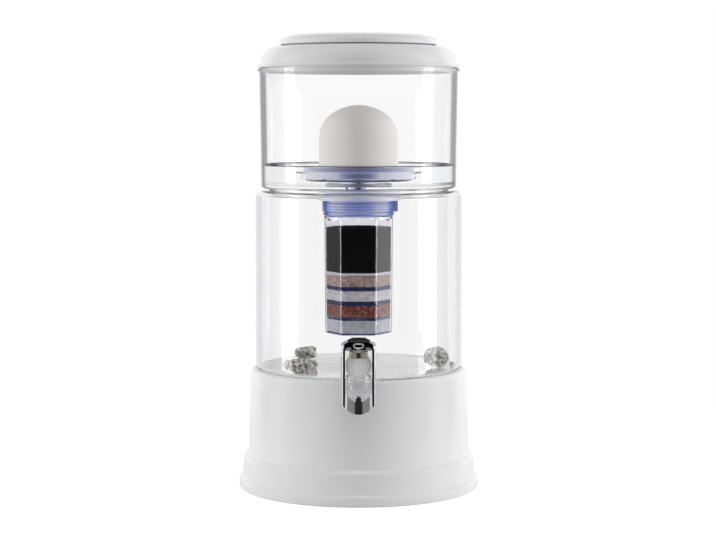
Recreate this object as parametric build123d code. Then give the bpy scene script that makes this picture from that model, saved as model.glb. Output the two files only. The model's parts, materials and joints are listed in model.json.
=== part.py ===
from build123d import *
import os
from math import acos, atan2, cos, degrees, radians, sqrt

# A gravity water filter. A covered upper tank holds a ceramic dome; its water seeps through the
# dome's hollow stem into a layered cartridge below, and drips into the lower tank, which stands on
# a moulded base and is emptied through a push tap.
#
# Millimetres. +Z is up, the tap faces -Y, and the origin is the centre of the base's foot.

# ---------------------------------------------------------------- fits
SEAT_GAP = 0.3            # between pieces that lift apart or turn on each other
PIN_GAP = 0.05            # round the lever's pin where the lever turns on it
SNUG = 0.03               # round a pin, stem or plug that its own hole holds
SMALL_EDGE = 2.0          # edges smaller than this are broken flat, larger ones are rounded

# ---------------------------------------------------------------- base
PLATFORM = 135.2          # level that the lower tank stands on
RECESS_GAP = 0.6          # round the lower tank
RIM_WIDTH = 5.5
RIM_BAND = 12.2           # rim's lower edge below the platform
BARREL_STEP = 1.1         # barrel's top outside the rim
BARREL_DRAFT = 1.7
BAND_STEP = 6.1           # band's top outside the barrel
BAND_DRAFT = 0.5
BAND_TOP = 37.4
BAND_ROUND = 5.9
FOOT_STEP = 4.5           # foot outside the band
FOOT_HEIGHT = 11.3
FOOT_ROUND = 4.2
FOOT_WIDTH = 8.0
RIM_RISE = 1.2            # how far the rim stands above the platform
RIM_ROUND = 4.8
STAND_WALL = 3.0
RIB_COUNT = 8
RIB_THICKNESS = 2.5
RIB_HEIGHT = 18.0
HUB_RADIUS = 28.0

# ---------------------------------------------------------------- tanks
TANK_WALL = 3.0
LOWER_RADIUS = 118.6
LOWER_HEIGHT = 206.6      # tank bottom to shoulder
LOWER_CORNER = 6.0
SHOULDER_CORNER = 8.2
SHOULDER_WIDTH = 15.5     # collar inside the tank's outside
COLLAR_WALL = 3.6
COLLAR_HEIGHT = 4.2
COLLAR_GAP = 0.5          # between the collar and the foot ring round it
FOOT_RING_WIDTH = 8.6
UPPER_DRAFT = 2.1
UPPER_HEIGHT = 137.9      # foot ring to rim
UPPER_CORNER = 3.5
FOOT_RING_DEPTH = 2.0
LIP_REACH = 2.1
LIP_HEIGHT = 3.2
LIP_DROP = 1.2            # lip's top below the rim

# ---------------------------------------------------------------- lid
LID_STEP = 1.8            # lid's skirt inside the tank's rim
LID_FLANGE_REACH = 1.7    # flange outside the tank's rim
LID_FLANGE_HEIGHT = 3.9
LID_RISE = 25.1           # seat to crown
LID_SHOULDER = 26.1       # crown inside the skirt
LID_WALL = 2.5
PLUG_DEPTH = 6.0
PLUG_GAP = 0.5
GRIP_OVERHANG = 4.6       # grip outside the crown
GRIP_HEIGHT = 11.9
GRIP_LIFT = 0.9           # grip's edge above the crown
GRIP_CROWN_WIDTH = 28.0   # the grip's edge falls away over this width and depth
GRIP_CROWN_DEPTH = 8.5
GRIP_EDGE_ROUND = 1.5
PEG_COUNT = 4
PEG_RADIUS = 3.0
PEG_CIRCLE = 60.0

# ---------------------------------------------------------------- ceramic dome and its base
DOME_RADIUS = 45.7
DOME_HEIGHT = 82.4
DOME_CROWN_MORE = 8.1     # crown arc's radius above the dome's
DOME_SHOULDER_LESS = 10.7 # shoulder arc's radius below the dome's
DOME_WALL = 8.0
STEM_RADIUS = 12.0
STEM_BORE = 5.0
STEM_LENGTH = 16.5        # below the boss
BOSS_RADIUS = 28.7
BOSS_HEIGHT = 2.5
PLATE_INSET = 2.4         # plate inside the dome's outside
PLATE_THICKNESS = 3.0
CUP_WALL = 4.1
CUP_HEIGHT = 8.7
FLANGE_REACH = 4.9
FLANGE_THICKNESS = 1.6
INNER_HUB_RADIUS = 18.0
INNER_HUB_HEIGHT = 4.0
FLOOR_WASHER = 1.9

# ---------------------------------------------------------------- cartridge
CARTRIDGE_GAP = 0.5       # lid below the upper tank's underside
RING_STEP = 5.3           # top ring outside the cap
LID_RING_HEIGHT = 9.5
LID_RING_WALL = 3.3
LID_PLATE = 3.5
CLAMP_STEP = 0.8          # clamp ring outside the top ring
CLAMP_HEIGHT = 6.3
THREAD_GAP = 0.3          # between the body's neck and the cap
CAP_WALL = 3.0
CAP_STEP = 1.1            # cap outside its waist
CAP_HEIGHT = 18.0
CAP_WAIST_HEIGHT = 5.0
CAP_PLATE = 2.4
SPIGOT_HEIGHT = 9.0
LUG_REACH = 3.0
LUG_WIDTH = 6.0
BODY_RADIUS = 40.5        # corner radius of the six-sided body at its top
BODY_DRAFT = 1.2
BODY_LENGTH = 135.0
BODY_CORNER = 6.0
BODY_WALL = 2.0
NECK_STEP = 2.7           # neck inside the body's corners
NECK_HEIGHT = 14.0
SEAL_WIDTH = 7.5
SEAL_THICKNESS = 1.85
GRID_THICKNESS = 1.8
DRIP_HOLE_RADIUS = 1.5
DRIP_RINGS = ((10.0, 6), (22.0, 12))    # radius of each ring of holes and how many it has
SPREAD_HOLE_RADIUS = 2.5
SPREAD_RINGS = ((18.0, 6),)
LAYER_GAP = 0.2           # filling to wall
# The filling, from the outlet up: node name and depth.
LAYERS = (
    ("silica_bed", 14.8),
    ("filter_pads", 3.5),
    ("red_ball_bed", 13.7),
    ("filter_pads", 4.4),
    ("zeolite_bed", 12.6),
    ("filter_pads", 4.0),
    ("clay_ball_bed", 13.2),
    ("felt_pad", 3.0),
    ("carbon_bed", 54.0),
)

# ---------------------------------------------------------------- tap, about its valve axis
TAP_RISE = 18.8           # shank's axis above the platform
SPOUT_TO_RIM = 1.4        # between the spout and the base's rim
SHANK_RADIUS = 8.0
SHANK_BORE = 4.5
SHANK_TAIL = 5.8          # shank past its nut
FLANGE_DISC_RADIUS = 15.0
FLANGE_DISC = 3.0
WASHER_RADIUS = 14.0
WASHER = 3.0
INNER_WASHER_RADIUS = 12.5
INNER_WASHER = 2.5
NUT_FLATS = 24.0
NUT_THICKNESS = 7.0
CHAMBER_RADIUS = 6.5
BULB_RADIUS = 11.9
BULB_LEVEL = 3.5          # widest point above the shank's axis
TAP_NECK_RADIUS = 8.6
TAP_NECK_TOP = 19.0
RING_BOTTOM = 11.0
RING_HEIGHT = 7.6
RING_RADIUS = 10.3
SOCKET_RADIUS = 8.2
SEAT_LEVEL = -14.0
SEAT_RADIUS = 4.0
CUP_TOP = -8.5
SPOUT_RADIUS = 13.9
SPOUT_WALL = 1.8
SPOUT_CENTRE = -20.5
NOZZLE_RADIUS = 5.0
NOZZLE_BORE = 3.5
NOZZLE_END = -44.0
BONNET_FLANGE = 2.0
VALVE_STEM_RADIUS = 2.5
STEM_HEAD_RADIUS = 4.0
STEM_HEAD_TOP = 26.0
STEM_HEAD_HEIGHT = 2.5
STEM_COLLAR_LEVEL = 10.0
STEM_COLLAR = 1.5
VALVE_SEAL_RADIUS = 5.8
VALVE_SEAL = 1.9
SPRING_RADIUS = 4.6
SPRING_WIRE = 0.5
SPRING_TURNS = 5
PIN_TO_WALL = 7.7         # lever pin out from the tank's wall
PIN_LEVEL = 19.5
PIN_RADIUS = 1.5
PIN_BOSS_RADIUS = 3.0
PIN_BOSS_GAP = 2.1        # between the boss and each cheek of the lever
SPINE_WIDTH = 16.0
SPINE_THICKNESS = 5.0

# ---------------------------------------------------------------- tap lever
LEVER_CLEARANCE = 3.2     # round the spout
LEVER_WALL = 2.2
LEVER_TOP = 31.6
LEVER_SHOULDER = 24.0
LEVER_SHOULDER_ROUND = 4.0
LEVER_TO_WALL = 3.7       # cheeks out from the tank's wall
LEVER_LOW_BACK = 1.0
LEVER_PAD_SIDE = -36.0
LEVER_PAD_BOTTOM = -48.3
CHEEK_WIDTH = 4.7         # beside the window
WINDOW_TOP = 24.5
WINDOW_CORNER = 5.0
WINDOW_SIDE_END = -24.0
WINDOW_BOTTOM = -34.6
TONGUE_HALF = 3.0
TONGUE_RISE = 5.5
PRESSER_RADIUS = 4.0
TAB_WIDTH = 15.6
TAB_BOTTOM = 21.8
TAB_PROUD = 3.0
TAB_BEND = 31.0
TAB_TIP = 36.8
TAB_TIP_REACH = 4.2       # tip in front of the tab's face
TAB_TEETH = 6
TOOTH_PITCH = 2.3
TOOTH_GAP = 1.1
TOOTH_DEPTH = 1.8
OVAL_LENGTH = 11.8
OVAL_HEIGHT = 6.0
OVAL_WIDTH = 0.8
OVAL_PROUD = 0.4

# ---------------------------------------------------------------- mineral stones
# Bearing, distance in from the wall, width, depth, height and turn of each stone on the floor.
STONES = (
    (138.4, 31.0, 29.0, 22.0, 17.0, 20.0),
    (222.8, 24.0, 33.0, 24.0, 17.0, -15.0),
    (352.2, 26.5, 31.0, 24.0, 24.0, 30.0),
    (203.3, 59.8, 9.0, 8.0, 9.0, 50.0),
    (352.5, 7.4, 7.0, 6.0, 7.0, 10.0),
)

# ---------------------------------------------------------------- sizes that follow
rim_radius = LOWER_RADIUS + RECESS_GAP + RIM_WIDTH
barrel_top_radius = rim_radius + BARREL_STEP
barrel_radius = barrel_top_radius + BARREL_DRAFT
band_top_radius = barrel_radius + BAND_STEP
band_radius = band_top_radius + BAND_DRAFT
foot_radius = band_radius + FOOT_STEP
barrel_top = PLATFORM - RIM_BAND
collar_radius = LOWER_RADIUS - SHOULDER_WIDTH
upper_radius = collar_radius + COLLAR_GAP + FOOT_RING_WIDTH
upper_top_radius = upper_radius + UPPER_DRAFT
lip_radius = upper_top_radius + LIP_REACH
lid_radius = upper_top_radius - LID_STEP
lid_flange_radius = upper_top_radius + LID_FLANGE_REACH
lid_crown_radius = lid_radius - LID_SHOULDER
grip_radius = lid_crown_radius + GRIP_OVERHANG

plate_radius = DOME_RADIUS - PLATE_INSET
cup_radius = DOME_RADIUS + SEAT_GAP + CUP_WALL
flange_radius = cup_radius + FLANGE_REACH

neck_radius = BODY_RADIUS - NECK_STEP
cap_waist_radius = neck_radius + THREAD_GAP + CAP_WALL
cap_radius = cap_waist_radius + CAP_STEP
lid_ring_radius = cap_radius + RING_STEP
clamp_radius = lid_ring_radius + CLAMP_STEP

tap_reach = RECESS_GAP + RIM_WIDTH + SPOUT_TO_RIM + SPOUT_RADIUS    # valve axis out from the wall
shank_end = tap_reach + TANK_WALL + INNER_WASHER + NUT_THICKNESS + SHANK_TAIL
pin_back = tap_reach - PIN_TO_WALL
lever_back = tap_reach - LEVER_TO_WALL
lever_half = SPOUT_RADIUS + LEVER_CLEARANCE + LEVER_WALL    # also the radius of its nose
window_half = lever_half - CHEEK_WIDTH
pin_boss_length = 2 * (lever_half - LEVER_WALL - PIN_BOSS_GAP)
tab_front = lever_half + TAB_PROUD
tab_tip_front = tab_front + TAB_TIP_REACH

# ---------------------------------------------------------------- levels that follow
rim_level = PLATFORM + RIM_RISE
lower_floor = PLATFORM + TANK_WALL
shoulder_level = PLATFORM + LOWER_HEIGHT
collar_top = shoulder_level + COLLAR_HEIGHT
upper_underside = collar_top + SEAT_GAP
upper_floor = upper_underside + TANK_WALL
upper_foot = upper_underside - FOOT_RING_DEPTH
upper_rim = upper_foot + UPPER_HEIGHT
lid_seat = upper_rim + SEAT_GAP
lid_crown = lid_seat + LID_RISE
mouth_radius = collar_radius - COLLAR_WALL

boss_bottom = upper_floor + FLOOR_WASHER + SEAT_GAP
plate_bottom = boss_bottom + BOSS_HEIGHT
cup_floor = plate_bottom + PLATE_THICKNESS
flange_bottom = plate_bottom + CUP_HEIGHT
dome_bottom = cup_floor + SEAT_GAP
stem_hole_radius = STEM_RADIUS + SEAT_GAP

cartridge_top = upper_underside - CARTRIDGE_GAP
lid_ring_bottom = cartridge_top - LID_RING_HEIGHT
clamp_bottom = lid_ring_bottom - CLAMP_HEIGHT
cap_bottom = clamp_bottom - CAP_HEIGHT
body_bottom = cap_bottom - BODY_LENGTH

tap_axis = LOWER_RADIUS + tap_reach
tap_level = PLATFORM + TAP_RISE
tap_place = Pos(0, -tap_axis, tap_level)


# ---------------------------------------------------------------- helpers
def edge_break(before, corner, after):
    """Two points that cut a corner off flat, each the corner's third number away from it."""
    corner_point = Vector(*corner[:2])
    cut = corner[2]
    return [tuple(corner_point + (Vector(*point[:2]) - corner_point).normalized() * cut)[:2]
            for point in (before, after)]


def section(*corners):
    """Flat section through corners given as (across, up) or (across, up, size).

    A corner with a size is rounded to that radius, or broken flat where it is under SMALL_EDGE.
    """
    points = []
    roundings = []
    for place, corner in enumerate(corners):
        size = corner[2] if len(corner) > 2 else 0
        if 0 < size < SMALL_EDGE:
            cut = edge_break(corners[place - 1], corner, corners[(place + 1) % len(corners)])
            points += cut
            roundings += [0, 0]
        else:
            points.append(corner[:2])
            roundings.append(size)
    if not any(roundings):
        return make_face(Polyline(*points, close=True))
    return make_face(FilletPolyline(*points, radius=roundings, close=True))


def turned(face):
    """Solid made by turning a section once about the Z axis."""
    return revolve(Plane.XZ * face, Axis.Z)


def tube(outer, inner, bottom, top):
    """Round tube, or washer, about the Z axis."""
    return turned(section((inner, bottom), (outer, bottom), (outer, top), (inner, top)))


def along_y(radius, start, end):
    """Round bar along Y from start to end."""
    return Pos(0, (start + end) / 2, 0) * Rot(90, 0, 0) * Cylinder(radius, abs(end - start))


def along_x(radius, length):
    """Round bar along X, centred."""
    return Rot(0, 90, 0) * Cylinder(radius, length)


def ringed(hole, rings):
    """The hole at the centre and its copies round each ring."""
    copies = [hole]
    for ring_radius, count in rings:
        copies += [Rot(0, 0, step * 360 / count) * Pos(ring_radius, 0) * hole for step in range(count)]
    return copies


def six_sided(corner_radius):
    """Rounded hexagon with a flat side to the front."""
    outline = RegularPolygon(corner_radius, 6)
    return fillet(outline.vertices(), BODY_CORNER)


def body_radius_at(level):
    """Corner radius of the cartridge's tapered body at a level."""
    share = (level - body_bottom) / (cap_bottom - body_bottom)
    return BODY_RADIUS - (1 - share) * BODY_DRAFT


def six_sided_block(bottom, top, inset):
    """Tapered hexagonal block that stands the inset inside the body's outer faces."""
    shrink = inset / cos(radians(30))
    low = Pos(0, 0, bottom) * six_sided(body_radius_at(bottom) - shrink)
    high = Pos(0, 0, top) * six_sided(body_radius_at(top) - shrink)
    return loft([low, high])


# ---------------------------------------------------------------- base
def stand():
    outer_floor = rim_level - STAND_WALL - RIM_RISE
    shell = turned(section(
        (foot_radius - FOOT_WIDTH, 0), (foot_radius, 0, 1), (foot_radius, FOOT_HEIGHT, FOOT_ROUND),
        (band_radius, FOOT_HEIGHT + 1.0, 0.8), (band_top_radius, BAND_TOP, BAND_ROUND),
        (barrel_radius, BAND_TOP + 1.0, 0.8), (barrel_top_radius, barrel_top, 1.2),
        (rim_radius, barrel_top + 0.4, 0.3), (rim_radius, rim_level, RIM_ROUND),
        (LOWER_RADIUS + RECESS_GAP, rim_level), (LOWER_RADIUS + RECESS_GAP, PLATFORM),
        (0, PLATFORM), (0, outer_floor),
        (rim_radius - STAND_WALL, outer_floor, 3), (rim_radius - STAND_WALL, barrel_top - 2),
        (barrel_top_radius - STAND_WALL, barrel_top - 4), (barrel_radius - STAND_WALL, BAND_TOP + 1),
        (band_top_radius - STAND_WALL, BAND_TOP - 3), (foot_radius - FOOT_WIDTH, FOOT_HEIGHT),
    ))
    rib_bottom = outer_floor - RIB_HEIGHT
    inner_wall = rim_radius - STAND_WALL + 0.5
    rib_length = inner_wall - HUB_RADIUS
    rib = Pos(HUB_RADIUS + rib_length / 2, 0, outer_floor - RIB_HEIGHT / 2 + 0.5)
    rib *= Box(rib_length, RIB_THICKNESS, RIB_HEIGHT + 1)
    hub = tube(HUB_RADIUS + RIB_THICKNESS, HUB_RADIUS, rib_bottom, outer_floor + 0.5)
    ribs = [Rot(0, 0, turn * 360 / RIB_COUNT + 22.5) * rib for turn in range(RIB_COUNT)]
    return shell + hub + ribs


# ---------------------------------------------------------------- lower tank
def lower_tank():
    inner = LOWER_RADIUS - TANK_WALL
    shell = turned(section(
        (0, PLATFORM), (LOWER_RADIUS, PLATFORM, LOWER_CORNER),
        (LOWER_RADIUS, shoulder_level, SHOULDER_CORNER), (collar_radius, shoulder_level, 1),
        (collar_radius, collar_top, 1), (mouth_radius, collar_top, 1),
        (mouth_radius, shoulder_level - TANK_WALL, 1),
        (inner, shoulder_level - TANK_WALL, SHOULDER_CORNER - TANK_WALL),
        (inner, lower_floor, LOWER_CORNER - TANK_WALL), (0, lower_floor),
    ))
    tap_hole = Pos(0, 0, tap_level) * along_y(SHANK_RADIUS + SEAT_GAP, -LOWER_RADIUS - 5, -LOWER_RADIUS + 8)
    return shell - tap_hole


def rough_stone(width, depth, height):
    """Broken lump: a block whose corners are split off by tilted blocks, on a flat underside."""
    middle = Pos(0, 0, height / 2)
    lump = middle * Box(width, depth, height)
    for tilt in ((18, 24, 12), (-22, 14, -9), (9, -26, 21)):
        lump &= middle * Rot(*tilt) * Box(width, depth * 1.08, height * 1.25)
    return lump


def mineral_stones():
    lumps = []
    for bearing, from_wall, width, depth, height, turn in STONES:
        place = Rot(0, 0, bearing) * Pos(LOWER_RADIUS - TANK_WALL - from_wall, 0, lower_floor)
        lumps.append(place * Rot(0, 0, turn - bearing) * rough_stone(width, depth, height))
    return Compound(children=lumps)


# ---------------------------------------------------------------- upper tank
def upper_tank():
    lip_top = upper_rim - LIP_DROP
    inner = upper_radius - TANK_WALL
    shell = turned(section(
        (stem_hole_radius, upper_underside), (collar_radius + COLLAR_GAP, upper_underside, 0.8),
        (collar_radius + COLLAR_GAP, upper_foot, 0.8), (upper_radius, upper_foot, UPPER_CORNER),
        (upper_top_radius, lip_top - LIP_HEIGHT, 0.5), (lip_radius, lip_top - LIP_HEIGHT, 1.2),
        (lip_radius, lip_top, 1.2), (upper_top_radius, lip_top, 0.5),
        (upper_top_radius, upper_rim, 0.8), (upper_top_radius - TANK_WALL, upper_rim, 0.8),
        (inner, upper_floor, UPPER_CORNER), (stem_hole_radius, upper_floor),
    ))
    return shell


def floor_washer():
    return tube(BOSS_RADIUS, stem_hole_radius, upper_floor, upper_floor + FLOOR_WASHER)


# ---------------------------------------------------------------- lid
def lid_shell():
    edge = (lid_radius, lid_seat + 8)
    shoulder = (lid_radius - 9.6, lid_crown - 4)
    crown = (lid_crown_radius, lid_crown)
    body = turned(make_face([
        Line((0, lid_seat), (lid_radius, lid_seat)), Line((lid_radius, lid_seat), edge),
        ThreePointArc(edge, (lid_radius - 3.4, lid_crown - 9.5), shoulder),
        ThreePointArc(shoulder, (lid_radius - 17.0, lid_crown - 1.3), crown),
        Line(crown, (0, lid_crown)), Line((0, lid_crown), (0, lid_seat)),
    ]))
    mouth = body.faces().sort_by(Axis.Z)[0]
    body = offset(body, amount=-LID_WALL, openings=mouth, kind=Kind.INTERSECTION)
    plug_radius = upper_top_radius - TANK_WALL - PLUG_GAP
    skirt = turned(section(
        (plug_radius - LID_WALL, lid_seat - PLUG_DEPTH), (plug_radius, lid_seat - PLUG_DEPTH, 0.8),
        (plug_radius, lid_seat), (lid_flange_radius, lid_seat, 1),
        (lid_flange_radius, lid_seat + LID_FLANGE_HEIGHT, 1.3),
        (plug_radius - LID_WALL, lid_seat + LID_FLANGE_HEIGHT),
    ))
    return body + skirt - grip_pegs(PEG_RADIUS + SNUG)


def grip_pegs(radius):
    """The pegs that hold the grip, or with a wider radius the holes they pass through."""
    length = LID_WALL + GRIP_LIFT + 4
    peg = Pos(PEG_CIRCLE, 0, lid_crown - LID_WALL + length / 2 - 1) * Cylinder(radius, length)
    return Part() + [Rot(0, 0, 45 + 90 * turn) * peg for turn in range(PEG_COUNT)]


def grip_outline(inset, bottom, top):
    """Half outline of the grip: flat crown and an edge that falls away as a quarter ellipse."""
    flat = grip_radius - GRIP_CROWN_WIDTH
    level = top - GRIP_CROWN_DEPTH
    edge = grip_radius - inset
    crown = top - inset
    reach = 0.5523        # length of a curve's handles that makes it a quarter ellipse
    turn = GRIP_EDGE_ROUND
    return make_face([
        Line((0, bottom), (edge - turn, bottom)),
        CenterArc((edge - turn, bottom + turn), turn, -90, 90),
        Line((edge, bottom + turn), (edge, level)),
        Bezier((edge, level), (edge, level + reach * (crown - level)),
               (flat + reach * (edge - flat), crown), (flat, crown)),
        Line((flat, crown), (0, crown)), Line((0, crown), (0, bottom)),
    ])


def lid_grip():
    bottom = lid_crown + GRIP_LIFT
    top = bottom + GRIP_HEIGHT
    shell = turned(grip_outline(0, bottom, top) - grip_outline(LID_WALL, bottom - 1, top))
    skirt = tube(lid_crown_radius - 2, lid_crown_radius - 2 - LID_WALL, lid_crown, top - LID_WALL - 0.5)
    roots = Part() + [
        Rot(0, 0, 45 + 90 * turn) * Pos(PEG_CIRCLE, 0, (lid_crown + top - 1) / 2)
        * Cylinder(PEG_RADIUS + 2, top - 1 - lid_crown) for turn in range(PEG_COUNT)]
    return shell + skirt + roots + grip_pegs(PEG_RADIUS)


# ---------------------------------------------------------------- ceramic dome
def dome_outline(inset):
    """Half outline of the dome: straight side, shoulder arc and crown arc, each tangent to the next."""
    radius = DOME_RADIUS - inset
    crown_radius = radius + DOME_CROWN_MORE
    shoulder_radius = radius - DOME_SHOULDER_LESS
    top = dome_bottom + DOME_HEIGHT - inset
    shoulder_across = radius - shoulder_radius
    crown_centre = top - crown_radius
    rise = sqrt((crown_radius - shoulder_radius) ** 2 - shoulder_across ** 2)
    shoulder_centre = crown_centre + rise
    turn = degrees(atan2(rise, shoulder_across))
    return make_face([
        Line((0, dome_bottom), (radius, dome_bottom)),
        Line((radius, dome_bottom), (radius, shoulder_centre)),
        CenterArc((shoulder_across, shoulder_centre), shoulder_radius, 0, turn),
        CenterArc((0, crown_centre), crown_radius, turn, 90 - turn),
        Line((0, top), (0, dome_bottom)),
    ])


def ceramic_dome():
    return turned(dome_outline(0) - dome_outline(DOME_WALL))


def dome_base():
    return turned(section(
        (STEM_BORE, boss_bottom - STEM_LENGTH), (STEM_RADIUS, boss_bottom - STEM_LENGTH, 1),
        (STEM_RADIUS, boss_bottom), (BOSS_RADIUS, boss_bottom, 0.8), (BOSS_RADIUS, plate_bottom),
        (plate_radius, plate_bottom, 1.5), (cup_radius, plate_bottom + 2.5, 1.5),
        (cup_radius, flange_bottom), (flange_radius, flange_bottom, 0.6),
        (flange_radius, flange_bottom + FLANGE_THICKNESS, 0.6),
        (DOME_RADIUS + SEAT_GAP, flange_bottom + FLANGE_THICKNESS),
        (DOME_RADIUS + SEAT_GAP, cup_floor), (INNER_HUB_RADIUS, cup_floor),
        (INNER_HUB_RADIUS, cup_floor + INNER_HUB_HEIGHT, 0.8), (STEM_BORE, cup_floor + INNER_HUB_HEIGHT),
    ))


# ---------------------------------------------------------------- cartridge
def cartridge_seal():
    """Rubber ring between the cartridge's lid and the tank; it sits in the lid's groove."""
    outer = stem_hole_radius + SEAL_WIDTH
    return tube(outer, stem_hole_radius + 0.2, seal_groove_floor() + 0.05, upper_underside - 0.1)


def seal_groove_floor():
    return upper_underside - 0.1 - SEAL_THICKNESS - 0.05


def cartridge_lid():
    """Top ring with the threaded bore for the dome's stem."""
    bore = stem_hole_radius
    groove = seal_groove_floor()
    inner = lid_ring_radius - LID_RING_WALL
    plate_under = cartridge_top - LID_PLATE
    return turned(section(
        (bore, plate_under - 8), (bore + 4, plate_under - 8, 1), (bore + 4, plate_under),
        (inner, plate_under), (inner, lid_ring_bottom), (lid_ring_radius, lid_ring_bottom, 0.4),
        (lid_ring_radius, cartridge_top, 0.8), (bore + SEAL_WIDTH + SEAT_GAP, cartridge_top),
        (bore + SEAL_WIDTH + SEAT_GAP, groove), (bore, groove),
    ))


def clamp_ring():
    inner = lid_ring_radius - LID_RING_WALL
    return turned(section(
        (inner, clamp_bottom + 0.1), (clamp_radius - 2.6, clamp_bottom + 0.1),
        (clamp_radius, clamp_bottom + 1.4), (clamp_radius, lid_ring_bottom - 0.1, 0.4),
        (inner, lid_ring_bottom - 0.1),
    ))


def cartridge_cap():
    """Threaded cap round the body's neck, with a spigot that carries the two rings above."""
    inner = neck_radius + THREAD_GAP
    spigot = lid_ring_radius - LID_RING_WALL - SNUG
    plate_under = cap_bottom + NECK_HEIGHT + 0.3
    shell = turned(section(
        (inner, cap_bottom), (cap_waist_radius, cap_bottom, 1.5),
        (cap_waist_radius, cap_bottom + CAP_WAIST_HEIGHT, 0.5),
        (cap_radius, cap_bottom + CAP_WAIST_HEIGHT + 1, 0.5), (cap_radius, clamp_bottom),
        (spigot, clamp_bottom), (spigot, clamp_bottom + SPIGOT_HEIGHT, 0.5),
        (spigot - 2.4, clamp_bottom + SPIGOT_HEIGHT), (spigot - 2.4, plate_under + CAP_PLATE),
        (0, plate_under + CAP_PLATE), (0, plate_under), (inner, plate_under),
    ))
    lug_height = clamp_bottom - cap_bottom - CAP_WAIST_HEIGHT - 0.5
    lug = Pos(cap_radius, 0, clamp_bottom - lug_height / 2 - 0.3)
    lug *= Box(2 * LUG_REACH, LUG_WIDTH, lug_height)
    lug -= Cylinder(cap_radius - 1, 1000)
    hole = Pos(0, 0, plate_under + CAP_PLATE / 2) * Cylinder(SPREAD_HOLE_RADIUS, CAP_PLATE + 2)
    return shell + lug - ringed(hole, SPREAD_RINGS)


def cartridge_body():
    """Clear six-sided jar, open at the bottom for the outlet grid, with a round neck."""
    jar = six_sided_block(body_bottom, cap_bottom - SEAT_GAP, 0)
    jar -= six_sided_block(body_bottom, cap_bottom - SEAT_GAP - BODY_WALL, BODY_WALL)
    neck = Pos(0, 0, cap_bottom + NECK_HEIGHT / 2 - 1.5) * Cylinder(neck_radius, NECK_HEIGHT + 3)
    bore = Pos(0, 0, cap_bottom + NECK_HEIGHT / 2) * Cylinder(neck_radius - 2.6, NECK_HEIGHT + 10)
    return jar + neck - bore


def filling():
    """Node name to solids for every layer in the cartridge, stacked from the grid up."""
    solids = {}
    bottom = body_bottom + GRID_THICKNESS
    for name, depth in LAYERS:
        layer = six_sided_block(bottom + 0.05, bottom + depth - 0.05, BODY_WALL + LAYER_GAP)
        solids.setdefault(name, []).append(layer)
        bottom += depth
    return solids


def outlet_grid():
    """Grid with six-sided holes, which carries the filling and lets the water drip out."""
    plate = six_sided_block(body_bottom, body_bottom + GRID_THICKNESS, BODY_WALL + 0.05)
    hole = Pos(0, 0, body_bottom) * extrude(RegularPolygon(DRIP_HOLE_RADIUS, 6), GRID_THICKNESS + 1, both=True)
    return plate - ringed(hole, DRIP_RINGS)


# ---------------------------------------------------------------- tap, fixed pieces
def tap_body():
    """Frosted valve housing: bulb and neck about the valve axis, shank, flange and lever spine."""
    neck = section(
        (0, SEAT_LEVEL), (SOCKET_RADIUS, SEAT_LEVEL, 0.5), (SOCKET_RADIUS, CUP_TOP + 0.1),
        (9.2, CUP_TOP + 0.1, 0.4), (9.2, CUP_TOP + 1.5, 6), (BULB_RADIUS, BULB_LEVEL, 14),
        (RING_RADIUS, RING_BOTTOM - 0.1, 0.5), (TAP_NECK_RADIUS, RING_BOTTOM - 0.1),
        (TAP_NECK_RADIUS, TAP_NECK_TOP), (0, TAP_NECK_TOP),
    )
    wall_side = tap_reach - WASHER
    body = turned(neck) + along_y(SHANK_RADIUS, 8, shank_end)
    body += along_y(FLANGE_DISC_RADIUS, wall_side - FLANGE_DISC, wall_side)
    spine_top = PIN_LEVEL
    spine_back = pin_back + 2.0
    spine = Pos(0, spine_back - SPINE_THICKNESS / 2, (6 + spine_top) / 2)
    body += spine * Box(SPINE_WIDTH, SPINE_THICKNESS, spine_top - 6)
    pin_line = Pos(0, pin_back, PIN_LEVEL)
    body += pin_line * along_x(PIN_BOSS_RADIUS, pin_boss_length)
    chamber = tube_bore(CHAMBER_RADIUS, SEAT_LEVEL + 4, TAP_NECK_TOP + 1)
    body -= chamber + tube_bore(SEAT_RADIUS, SEAT_LEVEL - 1, SEAT_LEVEL + 5)
    body -= along_y(SHANK_BORE, 3, shank_end + 1)
    return body - pin_line * along_x(PIN_RADIUS + SNUG, pin_boss_length + 2)


def tube_bore(radius, bottom, top):
    """Plain round cutter about the valve axis."""
    return Pos(0, 0, (bottom + top) / 2) * Cylinder(radius, top - bottom)


def magnet_ring():
    return turned(section(
        (TAP_NECK_RADIUS + SNUG, RING_BOTTOM), (RING_RADIUS, RING_BOTTOM, 0.5),
        (RING_RADIUS, RING_BOTTOM + RING_HEIGHT, 0.5), (TAP_NECK_RADIUS + SNUG, RING_BOTTOM + RING_HEIGHT),
    ))


def tap_bonnet():
    """Plug that closes the valve housing and guides the stem."""
    return turned(section(
        (VALVE_STEM_RADIUS + 0.1, TAP_NECK_TOP - 6.5), (CHAMBER_RADIUS - SNUG, TAP_NECK_TOP - 6.5, 0.5),
        (CHAMBER_RADIUS - SNUG, TAP_NECK_TOP), (TAP_NECK_RADIUS, TAP_NECK_TOP),
        (TAP_NECK_RADIUS, TAP_NECK_TOP + BONNET_FLANGE, 0.8),
        (VALVE_STEM_RADIUS + 0.1, TAP_NECK_TOP + BONNET_FLANGE),
    ))


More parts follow.
